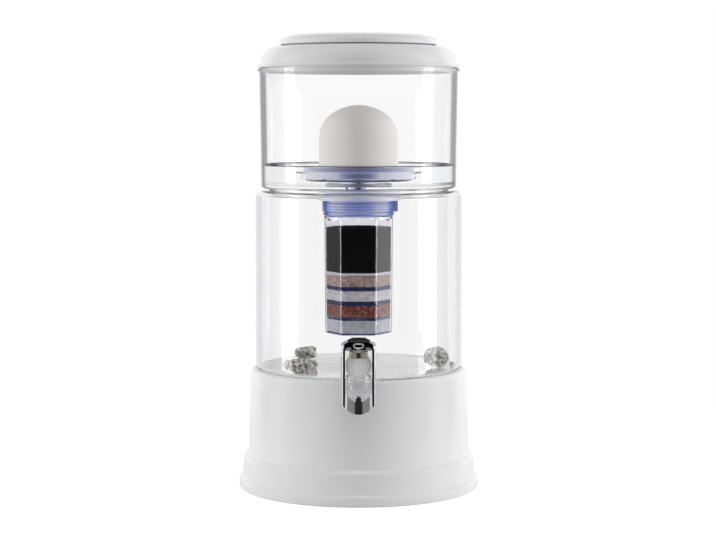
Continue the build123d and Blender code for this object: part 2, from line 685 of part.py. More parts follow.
def spout_cup():
    """Clear round-bottomed cup that gathers the water below the valve into the nozzle."""
    inner = SPOUT_RADIUS - SPOUT_WALL
    socket = SOCKET_RADIUS + SNUG
    outer_turn = degrees(acos(NOZZLE_RADIUS / SPOUT_RADIUS))
    inner_turn = degrees(acos(NOZZLE_BORE / inner))
    outer_end = SPOUT_CENTRE - sqrt(SPOUT_RADIUS ** 2 - NOZZLE_RADIUS ** 2)
    inner_end = SPOUT_CENTRE - sqrt(inner ** 2 - NOZZLE_BORE ** 2)
    return turned(make_face([
        Polyline((NOZZLE_BORE, inner_end), (NOZZLE_BORE, NOZZLE_END), (NOZZLE_RADIUS, NOZZLE_END),
                 (NOZZLE_RADIUS, outer_end)),
        CenterArc((0, SPOUT_CENTRE), SPOUT_RADIUS, -outer_turn, outer_turn),
        Polyline((SPOUT_RADIUS, SPOUT_CENTRE), (SPOUT_RADIUS, CUP_TOP), (socket, CUP_TOP),
                 (socket, CUP_TOP - SPOUT_WALL), (inner, CUP_TOP - SPOUT_WALL), (inner, SPOUT_CENTRE)),
        CenterArc((0, SPOUT_CENTRE), inner, -inner_turn, inner_turn),
    ]))


def tap_outer_washer():
    """Rubber washer, flat to the tap and curved to the tank's wall."""
    wall_side = tap_reach - WASHER
    blank = along_y(WASHER_RADIUS, wall_side, wall_side + 8) - along_y(SHANK_RADIUS + 0.2, 0, shank_end)
    return blank - Pos(0, tap_reach + LOWER_RADIUS, 0) * Cylinder(LOWER_RADIUS, 4 * WASHER_RADIUS)


def inner_washer_face():
    """Distance from the valve axis to the flat side of the washer inside the tank."""
    return tap_reach + TANK_WALL + INNER_WASHER


def tap_inner_washer():
    wall = Pos(0, tap_reach + LOWER_RADIUS, 0) * Cylinder(LOWER_RADIUS - TANK_WALL, 4 * WASHER_RADIUS)
    blank = along_y(INNER_WASHER_RADIUS, inner_washer_face() - 6, inner_washer_face())
    return (blank - along_y(SHANK_RADIUS + 0.2, 0, shank_end)) & wall


def tap_nut():
    """Hexagonal nut on the shank inside the tank."""
    face = Plane.XZ * RegularPolygon(NUT_FLATS / 2, 6, major_radius=False, rotation=30)
    nut = extrude(face, NUT_THICKNESS, dir=(0, 1, 0))
    bore = along_y(SHANK_RADIUS + SNUG, -1, NUT_THICKNESS + 1)
    return Pos(0, inner_washer_face(), 0) * (nut - bore)


def lever_pin():
    return Pos(0, pin_back, PIN_LEVEL) * along_x(PIN_RADIUS, 2 * (lever_half - SEAT_GAP))


def valve_spring():
    """Return spring between the chamber's floor and the stem's collar."""
    bottom = SEAT_LEVEL + 4 + SPRING_WIRE
    top = STEM_COLLAR_LEVEL - SPRING_WIRE
    path = Pos(0, 0, bottom) * Helix((top - bottom) / SPRING_TURNS, top - bottom, SPRING_RADIUS)
    wire = Plane(origin=path @ 0, z_dir=path % 0) * RegularPolygon(SPRING_WIRE, 6)
    return sweep(wire, path)


# ---------------------------------------------------------------- tap, moving pieces
def valve_stem():
    """Stem with a domed head, a spring collar and the washer that holds the seal."""
    seal_bottom = SEAT_LEVEL - 0.1 - VALVE_SEAL
    head_bottom = STEM_HEAD_TOP - STEM_HEAD_HEIGHT
    return turned(section(
        (0, seal_bottom - 1.3), (3.6, seal_bottom - 1.3, 0.4), (3.6, seal_bottom),
        (VALVE_STEM_RADIUS, seal_bottom), (VALVE_STEM_RADIUS, STEM_COLLAR_LEVEL),
        (SPRING_RADIUS + SPRING_WIRE, STEM_COLLAR_LEVEL),
        (SPRING_RADIUS + SPRING_WIRE, STEM_COLLAR_LEVEL + STEM_COLLAR),
        (VALVE_STEM_RADIUS, STEM_COLLAR_LEVEL + STEM_COLLAR), (VALVE_STEM_RADIUS, head_bottom),
        (STEM_HEAD_RADIUS, head_bottom), (STEM_HEAD_RADIUS, STEM_HEAD_TOP - 1.2, 0.8),
        (1.2, STEM_HEAD_TOP, 3), (0, STEM_HEAD_TOP),
    ))


def valve_seal():
    top = SEAT_LEVEL - 0.1
    return turned(section(
        (VALVE_STEM_RADIUS + 0.02, top - VALVE_SEAL), (VALVE_SEAL_RADIUS, top - VALVE_SEAL, 0.5),
        (VALVE_SEAL_RADIUS, top, 0.5), (VALVE_STEM_RADIUS + 0.02, top),
    ))


def lever_plan(inset):
    """Plan of the lever: a half-round nose to the front and straight cheeks to the back."""
    half = lever_half - inset
    back = lever_back + inset
    return make_face([
        Line((-half, back), (-half, 0)), ThreePointArc((-half, 0), (0, -half), (half, 0)),
        Line((half, 0), (half, back)), Line((half, back), (-half, back)),
    ])


def lever_front(inset, bottom_side, bottom):
    """Front outline of the lever: arched roof with rounded shoulders and a rounded foot."""
    half = lever_half - inset
    shoulder = LEVER_SHOULDER - inset
    outline = make_face([
        Line((-half, bottom_side), (-half, shoulder)),
        ThreePointArc((-half, shoulder), (0, LEVER_TOP - inset), (half, shoulder)),
        Line((half, shoulder), (half, bottom_side)),
        ThreePointArc((half, bottom_side), (0, bottom), (-half, bottom_side)),
    ])
    corners = outline.vertices().sort_by(Axis.Y)[-2:]
    return fillet(corners, LEVER_SHOULDER_ROUND - inset / 2)


def through(outline):
    """Outline drawn x by z, carried through the whole depth of the lever."""
    return extrude(Plane.XZ * outline, 3 * lever_half, both=True)


def lever_blank():
    """The lever's outer volume before it is hollowed."""
    plan = Pos(0, 0, LEVER_PAD_BOTTOM - 5) * lever_plan(0)
    return extrude(plan, LEVER_TOP - LEVER_PAD_BOTTOM + 10) & through(
        lever_front(0, LEVER_PAD_SIDE, LEVER_PAD_BOTTOM))


def lever_window():
    """Arched opening with a round bottom, less the tongue that stands up from the pad."""
    opening = make_face([
        Line((-window_half, WINDOW_SIDE_END), (-window_half, WINDOW_TOP)),
        Line((-window_half, WINDOW_TOP), (window_half, WINDOW_TOP)),
        Line((window_half, WINDOW_TOP), (window_half, WINDOW_SIDE_END)),
        ThreePointArc((window_half, WINDOW_SIDE_END), (0, WINDOW_BOTTOM), (-window_half, WINDOW_SIDE_END)),
    ])
    opening = fillet(opening.vertices().sort_by(Axis.Y)[-2:], WINDOW_CORNER)
    round_level = WINDOW_BOTTOM + TONGUE_RISE - TONGUE_HALF
    tongue = Pos(0, round_level) * Circle(TONGUE_HALF)
    tongue += Pos(0, round_level - 4) * Rectangle(2 * TONGUE_HALF, 8)
    return extrude(Plane.XZ * (opening - tongue), 2 * lever_half)


def push_lever():
    """Chrome stirrup: a hollow arched hood over the valve that ends in the push pad."""
    shell = lever_blank()
    plan = Pos(0, 0, LEVER_PAD_BOTTOM - 10) * lever_plan(LEVER_WALL)
    hollow = extrude(plan, LEVER_TOP - LEVER_PAD_BOTTOM + 20) & through(
        lever_front(LEVER_WALL, LEVER_PAD_SIDE - 20, LEVER_PAD_BOTTOM - 20))
    side = section(
        (-30, -60), (LEVER_LOW_BACK, -60), (LEVER_LOW_BACK, 5, 8), (lever_back, 12, 4),
        (lever_back, 27, 4), (8, 40), (-30, 40),
    )
    shell = (shell - hollow) & extrude(Plane.YZ * side, lever_half + 1, both=True)
    shell -= lever_window()
    presser = tube_bore(PRESSER_RADIUS, STEM_HEAD_TOP + SEAT_GAP, LEVER_TOP - LEVER_WALL / 2)
    shell += presser
    return shell - Pos(0, pin_back, PIN_LEVEL) * along_x(PIN_RADIUS + PIN_GAP, 3 * lever_half)


def thumb_tab():
    """Thumb piece over the lever's crown, with a toothed tip and a raised oval."""
    side = section(
        (-tab_front, TAB_BOTTOM, 0.8), (-tab_front, TAB_BEND, 4), (-tab_tip_front, TAB_TIP - 1.6, 0.5),
        (-tab_tip_front + 1.4, TAB_TIP, 0.5), (-16, LEVER_TOP + 2.2, 5), (-7, LEVER_TOP + 1.2, 0.5),
        (-7, TAB_BOTTOM),
    )
    tab = extrude(Plane.YZ * side, TAB_WIDTH / 2, both=True) - lever_blank()
    tooth_gap = Box(TOOTH_GAP, 8, 2 * TOOTH_DEPTH)
    for step in range(TAB_TEETH):
        across = (step - (TAB_TEETH - 1) / 2) * TOOTH_PITCH
        tab -= Pos(across, -tab_tip_front + 1, TAB_TIP) * tooth_gap
    oval = Ellipse(OVAL_LENGTH / 2, OVAL_HEIGHT / 2)
    oval -= Ellipse(OVAL_LENGTH / 2 - OVAL_WIDTH, OVAL_HEIGHT / 2 - OVAL_WIDTH)
    level = (TAB_BOTTOM + TAB_BEND) / 2 + 0.6
    ring = Pos(0, -tab_front + 0.2, level) * extrude(Plane.XZ * oval, OVAL_PROUD + 0.2)
    return tab + ring


# ---------------------------------------------------------------- all nodes
nodes = {
    "stand": stand(),
    "lower_tank": lower_tank(),
    "mineral_stones": mineral_stones(),
    "upper_tank": upper_tank(),
    "floor_washer": floor_washer(),
    "lid_shell": lid_shell(),
    "lid_grip": lid_grip(),
    "ceramic_dome": ceramic_dome(),
    "dome_base": dome_base(),
    "cartridge_seal": cartridge_seal(),
    "cartridge_lid": cartridge_lid(),
    "clamp_ring": clamp_ring(),
    "cartridge_cap": cartridge_cap(),
    "cartridge_body": cartridge_body(),
    "outlet_grid": outlet_grid(),
}
for name, solids in filling().items():
    nodes[name] = Compound(children=solids) if len(solids) > 1 else solids[0]

tap_pieces = (
    tap_body, magnet_ring, tap_bonnet, spout_cup, tap_outer_washer, tap_inner_washer, tap_nut,
    lever_pin, valve_spring, valve_stem, valve_seal, push_lever, thumb_tab,
)
for piece in tap_pieces:
    nodes[piece.__name__] = tap_place * piece()

os.makedirs("parts", exist_ok=True)
for name, shape in nodes.items():
    shape.label = name
    export_step(shape, f"parts/{name}.step")
    box = shape.bounding_box()
    print(f"{name:18s} solids {len(shape.solids()):2d}  volume {shape.volume:10.1f}  "
          f"z {box.min.Z:7.2f} to {box.max.Z:7.2f}")
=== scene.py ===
# %% [markdown]
# # A gravity water filter with a push tap
#
# Water is poured into the clear upper tank, seeps through a ceramic dome, trickles down a layered
# cartridge and collects in the clear lower tank, where a chrome tap lets it out. The construction
# model already holds every rigid piece at its real size. This lesson gives those pieces their
# finishes, and adds what a construction model leaves plain: water, ceramic balls, grains and stones.

# %% Load the frame
import json
import math

import bmesh
import bpy
import numpy as np
from mathutils import Matrix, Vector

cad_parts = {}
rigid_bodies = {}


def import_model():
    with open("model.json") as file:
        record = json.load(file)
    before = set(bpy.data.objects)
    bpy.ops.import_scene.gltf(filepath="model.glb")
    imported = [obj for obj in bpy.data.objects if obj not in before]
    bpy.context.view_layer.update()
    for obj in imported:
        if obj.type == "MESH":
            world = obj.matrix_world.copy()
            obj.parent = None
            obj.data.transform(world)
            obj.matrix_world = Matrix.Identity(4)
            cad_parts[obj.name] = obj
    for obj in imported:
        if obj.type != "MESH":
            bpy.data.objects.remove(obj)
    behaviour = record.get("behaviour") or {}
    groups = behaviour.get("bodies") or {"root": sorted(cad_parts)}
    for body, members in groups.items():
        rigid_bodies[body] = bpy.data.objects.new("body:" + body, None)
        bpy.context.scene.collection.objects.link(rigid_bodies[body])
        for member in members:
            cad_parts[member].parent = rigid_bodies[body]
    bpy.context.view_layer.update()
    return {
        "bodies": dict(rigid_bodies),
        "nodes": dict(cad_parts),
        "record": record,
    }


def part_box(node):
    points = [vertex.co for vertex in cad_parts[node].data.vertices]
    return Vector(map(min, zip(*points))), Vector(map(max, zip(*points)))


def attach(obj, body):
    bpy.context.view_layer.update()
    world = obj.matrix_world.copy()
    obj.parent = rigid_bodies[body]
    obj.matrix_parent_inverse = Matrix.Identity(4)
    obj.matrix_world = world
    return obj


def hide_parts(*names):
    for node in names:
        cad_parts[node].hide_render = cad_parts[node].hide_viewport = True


MM = 0.001

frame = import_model()
print("bodies:", ", ".join(frame["bodies"]))

# %% [markdown]
# ## Shader sums written as Python
#
# A material is a graph of nodes, but most of its maths reads better as a formula. The class below
# wraps a socket, so that an expression such as 1 - mask * 0.5 adds the Math nodes itself. It has
# only the operators that this lesson's finishes use.


# %% Socket sums
class Sum:
    """A number socket that takes part in Python sums."""

    def __init__(self, paint, socket):
        self.paint = paint
        self.socket = socket

    def join(self, operation, first, second):
        return self.paint.value("ShaderNodeMath", {"operation": operation}, {0: first, 1: second})

    def __add__(self, other):
        return self.join("ADD", self, other)

    def __mul__(self, other):
        return self.join("MULTIPLY", self, other)

    def __rsub__(self, other):
        return self.join("SUBTRACT", other, self)

    def __gt__(self, other):
        return self.join("GREATER_THAN", self, other)

    def most(self, other):
        return self.join("MAXIMUM", self, other)

    def sine(self):
        return self.join("SINE", self, 0.0)

    def between(self, low, high):
        """0 below low, 1 above high, and a smooth step from one to the other."""
        inputs = {"Value": self, "From Min": low, "From Max": high}
        return self.paint.value("ShaderNodeMapRange", {"interpolation_type": "SMOOTHSTEP"}, inputs)

    __radd__ = __add__
    __rmul__ = __mul__


# %% [markdown]
# ## One method that makes any other node
#
# Each node needs three things: its type, its settings and its inputs. The method node() takes them
# in that order. The short methods after it are the patterns that the finishes below share, and all
# of them read object coordinates, so a pattern stays on its piece when the piece moves.


# %% Node trees
class Paint:
    """The node tree of one material, or of the world."""

    def __init__(self, tree):
        self.tree = tree
        tree.nodes.clear()

    def node(self, kind, settings=None, inputs=None):
        """Any node. Settings are set first, and inputs are values or links."""
        made = self.tree.nodes.new(kind)
        for name, setting in (settings or {}).items():
            if name == "stops":
                self.set_stops(made.color_ramp.elements, setting)
            else:
                setattr(made, name, setting)
        for name, given in (inputs or {}).items():
            if isinstance(given, Sum):
                given = given.socket
            if isinstance(given, bpy.types.NodeSocket):
                self.tree.links.new(given, made.inputs[name])
            else:
                made.inputs[name].default_value = given
        return made

    def set_stops(self, elements, stops):
        while len(elements) < len(stops):
            elements.new(1.0)
        for element, (place, colour) in zip(elements, stops):
            element.position = place
            element.color = (*colour, 1.0)

    def value(self, kind, settings=None, inputs=None, output=0):
        return Sum(self, self.node(kind, settings, inputs).outputs[output])

    def place(self):
        """Object coordinates, in metres."""
        return self.node("ShaderNodeTexCoord").outputs["Object"]

    def part(self, vector, name):
        """X, Y or Z of a vector."""
        return self.value("ShaderNodeSeparateXYZ", None, {"Vector": vector}, name)

    def axis(self, name):
        """One of the object coordinates, in metres."""
        return self.part(self.place(), name)

    def light_path(self, name):
        return self.value("ShaderNodeLightPath", None, None, name)

    def noise(self, scale, detail=3.0):
        inputs = {"Vector": self.place(), "Scale": scale, "Detail": detail}
        return self.value("ShaderNodeTexNoise", None, inputs)

    def ramp(self, factor, stops):
        return self.node("ShaderNodeValToRGB", {"stops": stops}, {"Fac": factor}).outputs["Color"]

    def mix(self, factor, first, second):
        """Colour that goes from first to second."""
        inputs = {0: factor, 6: rgba(first), 7: rgba(second)}
        return self.node("ShaderNodeMix", {"data_type": "RGBA"}, inputs).outputs[2]

    def vector_sum(self, operation, *vectors):
        inputs = dict(enumerate(vectors))
        return self.node("ShaderNodeVectorMath", {"operation": operation}, inputs).outputs[0]

    def bump(self, height, distance, strength=1.0, normal=None):
        inputs = {"Height": height, "Distance": distance, "Strength": strength}
        if normal:
            inputs["Normal"] = normal
        return self.node("ShaderNodeBump", None, inputs).outputs["Normal"]


# %% [markdown]
# ## From a tree to a finish
#
# Every finish here is one Principled shader. What is the same all over a piece is set on the
# shader's own socket, and only what varies is linked. That keeps the finish readable.


# %% Finishes and their inputs
def rgba(colour):
    """Colour with its alpha, or the socket as it is."""
    return colour if isinstance(colour, bpy.types.NodeSocket) else (*colour, 1.0)


def finish_named(name, **sockets):
    """Material with one Principled shader; its sockets are set here and its patterns linked later."""
    material = bpy.data.materials.new(name)
    material.use_nodes = True
    paint = Paint(material.node_tree)
    shader = paint.node("ShaderNodeBsdfPrincipled", None, {
        socket.replace("_", " "): rgba(given) if isinstance(given, tuple) else given
        for socket, given in sockets.items()})
    end = paint.node("ShaderNodeOutputMaterial")
    paint.tree.links.new(shader.outputs[0], end.inputs["Surface"])
    return material, paint, shader


def feed(paint, shader, **sockets):
    """Links patterns to the shader's sockets."""
    for socket, given in sockets.items():
        given = given.socket if isinstance(given, Sum) else given
        paint.tree.links.new(given, shader.inputs[socket.replace("_", " ")])


def let_light_in(paint, shader):
    """Lets lamp light and scattered light straight through a clear wall, to what stands behind it."""
    path = paint.node("ShaderNodeLightPath")
    open_way = paint.node("ShaderNodeBsdfTransparent")
    shown = shader.outputs[0]
    for ray in ("Is Diffuse Ray", "Is Shadow Ray"):
        inputs = {0: path.outputs[ray], 1: shown, 2: open_way.outputs[0]}
        shown = paint.node("ShaderNodeMixShader", None, inputs).outputs[0]
    end = next(node for node in paint.tree.nodes if node.type == "OUTPUT_MATERIAL")
    paint.tree.links.new(shown, end.inputs["Surface"])


# %% [markdown]
# ## Surfaces worked out with numpy
#
# A bowl, a pane of water and a ball are all grids of points bent into shape. The helpers below take
# such a grid as one array, join its rows into faces, and close it where it meets itself. A turned
# piece is an outline carried round the axis, as on a lathe.


# %% Mesh helpers
def grid_faces(rows, columns, loop_rows, loop_columns):
    """Quads between neighbouring points of a rows x columns grid, as index numbers."""
    row = np.arange(rows if loop_rows else rows - 1)[:, None]
    column = np.arange(columns if loop_columns else columns - 1)[None, :]
    next_row = (row + 1) % rows
    next_column = (column + 1) % columns
    corners = [row * columns + column, row * columns + next_column,
               next_row * columns + next_column, next_row * columns + column]
    return np.stack(corners, axis=-1).reshape(-1, 4)


def shown_on(name, mesh, material, body):
    """Object that shows a mesh, dressed, named and riding on a body."""
    mesh.materials.append(material)
    made = bpy.data.objects.new(name, mesh)
    bpy.context.scene.collection.objects.link(made)
    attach(made, body)
    return made


def close_seams(mesh, reach, tidy_slivers=False):
    """Merges points that share a place, and turns every face outwards."""
    work = bmesh.new()
    work.from_mesh(mesh)
    bmesh.ops.remove_doubles(work, verts=work.verts, dist=reach)
    if tidy_slivers:
        bmesh.ops.dissolve_degenerate(work, edges=work.edges, dist=reach / 10)
    bmesh.ops.recalc_face_normals(work, faces=work.faces)
    if tidy_slivers and work.calc_volume(signed=True) < 0:
        bmesh.ops.reverse_faces(work, faces=work.faces)
    work.to_mesh(mesh)
    work.free()


def piece_from(name, points, faces, material, body, smooth_angle=35.0):
    """Mesh object from arrays of points and faces, riding on a body."""
    mesh = bpy.data.meshes.new(name)
    mesh.from_pydata(np.asarray(points, dtype=float).reshape(-1, 3).tolist(), [], faces.tolist())
    close_seams(mesh, 1e-6, tidy_slivers=True)
    mesh.shade_smooth()
    mesh.set_sharp_from_angle(angle=math.radians(smooth_angle))
    print(f"{name}: {len(mesh.polygons)} faces")
    return shown_on(name, mesh, material, body)


# %% Outlines and lathe
def rounded(corners, steps=8):
    """Outline through corners (across, up, rounding), each rounding an arc tangent to both sides.

    For a corner with half angle h, the arc starts radius / tan(h) before the corner, and its centre
    lies radius / sin(h) from it along the bisector.
    """
    outline = []
    places = np.array([corner[:2] for corner in corners], dtype=float)
    for index, corner in enumerate(corners):
        radius = corner[2] if len(corner) > 2 else 0.0
        here = places[index]
        if radius <= 0:
            outline.append(here[None])
            continue
        back = places[index - 1] - here
        ahead = places[(index + 1) % len(corners)] - here
        back /= np.linalg.norm(back)
        ahead /= np.linalg.norm(ahead)
        half = math.acos(np.clip(back @ ahead, -1, 1)) / 2
        bisector = (back + ahead) / np.linalg.norm(back + ahead)
        centre = here + bisector * radius / math.sin(half)
        start = here + back * radius / math.tan(half) - centre
        end = here + ahead * radius / math.tan(half) - centre
        share = np.linspace(0, 1, steps + 1)[:, None]
        swing = math.pi - 2 * half
        arc = (np.sin((1 - share) * swing) * start + np.sin(share * swing) * end) / math.sin(swing)
        outline.append(centre + arc)
    return np.concatenate(outline)


def lathe(name, corners, material, body, around=192, closed=True, smooth_angle=35.0):
    """Outline turned about Z: (r, z) becomes (r cos a, r sin a, z) for a full turn of a."""
    outline = rounded(corners)
    angle = np.linspace(0, 2 * np.pi, around, endpoint=False)
    grid = np.stack([
        outline[:, :1] * np.cos(angle), outline[:, :1] * np.sin(angle),
        np.broadcast_to(outline[:, 1:], (len(outline), around))], axis=-1)
    faces = grid_faces(len(outline), around, closed, True)
    return piece_from(name, grid, faces, material, body, smooth_angle)


# %% [markdown]
# ## Camera
#
# The filter is seen from just above its middle with a long lens, so its sides stay upright and its
# rims open into thin ellipses. A small downward tilt and a little lens shift frame it. The camera's
# height counts from the lower tank's underside, so it follows the construction model.

# %% Camera
CAMERA_DISTANCE = 2.2123
CAMERA_ABOVE_BASE = 0.29605
CAMERA_TILT = math.radians(3.212)
SENSOR_WIDTH = 36.0
FRAME_WIDTH = 716
FOCAL_PIXELS = 1917.7
SHIFT_PIXELS = (-0.6, -50.0)

camera = bpy.data.objects.new("camera", bpy.data.cameras.new("camera"))
camera.data.sensor_width = SENSOR_WIDTH
camera.data.lens = SENSOR_WIDTH * FOCAL_PIXELS / FRAME_WIDTH
camera.data.shift_x, camera.data.shift_y = (pixels / FRAME_WIDTH for pixels in SHIFT_PIXELS)
base_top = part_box("lower_tank")[0][2]
camera.location = (0, -CAMERA_DISTANCE, base_top + CAMERA_ABOVE_BASE)
camera.rotation_euler = (math.pi / 2 - CAMERA_TILT, 0, 0)
bpy.context.scene.collection.objects.link(camera)
bpy.context.scene.camera = camera
bpy.context.scene.view_settings.view_transform = "Standard"
print("lens", round(camera.data.lens, 2), "mm")

# %% [markdown]
# ## Studio tent
#
# Clear plastic and chrome show mostly what stands round them. A white tent with a dark opening
# towards the camera gives white plastic a grey middle and pale sides. Polished metal also sees two
# black flags beside the tent's back and a dark ceiling, which draw its black bands. The tent is the
# world's colour, which depends only on direction. What the camera sees directly, or straight
# through the clear walls, is plain white.

# %% Levels of the tent
TENT_LIGHT = 0.76
OPENING_LIGHT = 0.56
OPENING_EDGE = (0.15, 0.4)      # how far towards the front the tent starts and ends its fall to grey
UNDER_LIGHT = 0.6               # share that is left below the table's edge

MIRROR_FRONT = (0.84, 0.94)     # polish sees, from the front round to the back: a dark front,
MIRROR_STRIP = (0.12, 0.24)     # grey sides, a bright strip,
MIRROR_FLAG = (-0.19, -0.13)    # a black flag
MIRROR_BACK = (-0.58, -0.5)     # and a white back
MIRROR_FRONT_LIGHT = 0.02
MIRROR_SIDE_LIGHT = 0.22
MIRROR_STRIP_LIGHT = 0.65
CEILING_EDGE = (0.4, 0.7)       # how far up the ceiling starts and ends its fall to black

INNER_FRONT = (0.2, 0.7)        # gloss behind a clear wall sees a dark front, a white back
INNER_FRONT_SHADE = 0.98
INNER_LEFT = (-0.85, -0.35)     # and a dimmer left
INNER_LEFT_LIGHT = 0.2


# %% Tent
def blend(share, first, second):
    """First where the share is 0, second where it is 1."""
    return (1 - share) * first + share * second


def mirror_level(front, height):
    """What metal and gloss see round the filter, by direction."""
    sides = blend(front.between(*MIRROR_FRONT), MIRROR_SIDE_LIGHT, MIRROR_FRONT_LIGHT)
    back = 1 - front.between(*MIRROR_BACK)
    behind = blend(front.between(*MIRROR_FLAG), back, MIRROR_STRIP_LIGHT)
    level = blend(front.between(*MIRROR_STRIP), behind, sides)
    return level * (1 - height.between(*CEILING_EDGE))


def inner_level(front, across):
    """What gloss behind a clear wall sees."""
    left = blend(across.between(*INNER_LEFT), INNER_LEFT_LIGHT, 1.0)
    return (1 - front.between(*INNER_FRONT) * INNER_FRONT_SHADE) * left


def tent_level(front, height):
    """What lights the filter."""
    ring = blend(front.between(*OPENING_EDGE), TENT_LIGHT, OPENING_LIGHT)
    return ring * blend(height > 0, UNDER_LIGHT, 1.0)


def studio_world():
    world = bpy.data.worlds.new("studio")
    world.use_nodes = True
    bpy.context.scene.world = world
    paint = Paint(world.node_tree)
    direction = paint.node("ShaderNodeTexCoord").outputs["Generated"]
    across, height = paint.part(direction, "X"), paint.part(direction, "Z")
    front = 0 - paint.part(direction, "Y")
    bounced, mirrored, inside = (
        paint.light_path(f"{way} Depth") > 0.5 for way in ("Diffuse", "Glossy", "Transmission"))
    reflected = blend(inside, mirror_level(front, height), inner_level(front, across))
    strength = blend(bounced, blend(mirrored, 1.0, reflected), tent_level(front, height))
    background = paint.node("ShaderNodeBackground", None, {"Color": rgba((1, 1, 1)), "Strength": strength})
    end = paint.node("ShaderNodeOutputWorld")
    paint.tree.links.new(background.outputs[0], end.inputs["Surface"])
    print("tent light", TENT_LIGHT, "and", OPENING_LIGHT, "at the opening")


studio_world()

# %% [markdown]
# ## Table
#
# A plain pale table takes the filter's shadow. Its own glow, for the eye and for what is seen
# through clear walls, lifts it to the backdrop's white without adding light to the filter. Polish
# mirrors less of the glow, so that the chrome's sides stand out from the white.

# %% Table
TABLE_COLOUR = (0.66, 0.66, 0.66)
TABLE_GLOW = 0.6
GLOW_IN_POLISH = 0.45
TABLE_HALF = 0.55
TABLE_FRONT = -0.5


def table_finish():
    material = bpy.data.materials.new("studio_table")
    material.use_nodes = True
    paint = Paint(material.node_tree)
    matt = paint.node("ShaderNodeBsdfDiffuse", None, {"Color": rgba(TABLE_COLOUR)})
    seen = paint.light_path("Is Camera Ray").most(paint.light_path("Is Transmission Ray"))
    seen = seen.most(paint.light_path("Is Glossy Ray") * GLOW_IN_POLISH)
    glow = paint.node("ShaderNodeEmission", None, {"Strength": seen * TABLE_GLOW})
    both = paint.node("ShaderNodeAddShader", None, {0: matt.outputs[0], 1: glow.outputs[0]})
    end = paint.node("ShaderNodeOutputMaterial")
    paint.tree.links.new(both.outputs[0], end.inputs["Surface"])
    return material


def studio_table():
    half = TABLE_HALF
    corners = [(-half, TABLE_FRONT, 0), (half, TABLE_FRONT, 0), (half, half, 0), (-half, half, 0)]
    mesh = bpy.data.meshes.new("table")
    mesh.from_pydata(corners, [], [(0, 1, 2, 3)])
    mesh.materials.append(table_finish())
    table = bpy.data.objects.new("table", mesh)
    bpy.context.scene.collection.objects.link(table)
    print("table", 2 * half, "m wide")


studio_table()

# %% [markdown]
# ## Softboxes
#
# Two tall soft lamps at the sides lift the edges of the white plastic, and shape the stones and the
# beds. Polish doesn't mirror them: the tent already gives it all that it should show.

# %% Softboxes
LAMP_AIM = (0, 0, 0.26)
LAMP_SIZE = (0.5, 1.2)
LAMPS = {                        # place in metres, and power in watts
    "left_softbox": ((-1.74, -0.12, 0.45), 11.0),
    "right_softbox": ((1.74, -0.1, 0.5), 13.0),
}


def softbox(name, place, power):
    """Large soft lamp that faces the middle of the filter."""
    lamp = bpy.data.objects.new(name, bpy.data.lights.new(name, "AREA"))
    lamp.data.shape = "RECTANGLE"
    lamp.data.size, lamp.data.size_y = LAMP_SIZE
    lamp.data.energy = power
    lamp.location = place
    facing = np.array(LAMP_AIM) - np.array(place)
    lean = math.atan2(math.hypot(*facing[:2]), -facing[2])
    lamp.rotation_euler = (lean, 0, math.atan2(facing[1], facing[0]) - math.pi / 2)
    lamp.visible_glossy = False
    bpy.context.scene.collection.objects.link(lamp)
    print(name, power, "W")


for lamp_name, (lamp_place, lamp_power) in LAMPS.items():
    softbox(lamp_name, lamp_place, lamp_power)

# %% [markdown]
# ## White plastic
#
# The base and the lid are glossy injection-moulded plastic. Such plastic is never optically flat: a
# very low, broad waviness breaks the reflections a little.


# %% White plastic
def white_plastic():
    material, paint, shader = finish_named(
        "white_plastic", Base_Color=(0.89, 0.89, 0.9), Roughness=0.28, IOR=1.5, Coat_Weight=0.25,
        Coat_Roughness=0.08)
    waves = paint.noise(scale=14.0, detail=1.0)
    grain = paint.noise(scale=900.0, detail=2.0)
    feed(paint, shader, Roughness=0.26 + grain * 0.06,
         Normal=paint.bump(waves, distance=0.6 * MM, strength=0.35))
    return material


# %% [markdown]
# ## Clear plastic
#
# The tanks are clear moulded plastic with real wall thickness, so refraction draws their rims and
# corners by itself. Towards the silhouette a Layer Weight paints shade into the shader's colour on
# upright walls: grey with a trace of violet, and on the upper tank a nearly black line. A renderer
# finds light behind a refracting wall only by chance, so lamp light and scattered light skip it.

# %% Clear plastic
# Painted edge shade: each ramp darkens a clear wall's colour from the face that looks at the eye towards
# its silhouette.
LOWER_EDGE_PAINTED_SHADE = [(0.0, (1.0, 1.0, 1.0)), (0.35, (0.99, 0.99, 0.99)), (0.52, (0.96, 0.955, 0.965)),
              (0.68, (0.9, 0.89, 0.915)), (0.76, (0.75, 0.74, 0.77)), (0.88, (0.5, 0.5, 0.52))]
UPPER_EDGE_PAINTED_SHADE = [(0.0, (1.0, 1.0, 1.0)), (0.5, (0.995, 0.995, 0.995)), (0.66, (0.93, 0.925, 0.94)),
              (0.72, (0.5, 0.49, 0.53)), (0.75, (0.03, 0.03, 0.05)), (0.86, (0.02, 0.02, 0.03)),
              (0.9, (0.35, 0.35, 0.37))]
JAR_EDGE_PAINTED_SHADE = [(0.0, (0.94, 0.935, 0.965)), (0.55, (0.92, 0.92, 0.97)), (0.85, (0.6, 0.62, 0.72)),
            (0.95, (0.2, 0.2, 0.25))]
CUP_EDGE_PAINTED_SHADE = [(0.0, (1.0, 1.0, 1.0)), (0.6, (0.97, 0.97, 0.98)), (0.9, (0.5, 0.5, 0.52))]
UPRIGHT = (0.05, 0.4)           # squared tilt at which a wall starts and ends counting as level


def facing_share(paint):
    """0 where the surface faces the eye, 1 at its silhouette."""
    return paint.value("ShaderNodeLayerWeight", None, {"Blend": 0.5}, "Facing")


def upright(paint):
    """1 on upright walls, 0 on level faces: one less a step of the normal's squared rise."""
    tilt = paint.part(paint.node("ShaderNodeNewGeometry").outputs["Normal"], "Z")
    return 1 - (tilt * tilt).between(*UPRIGHT)


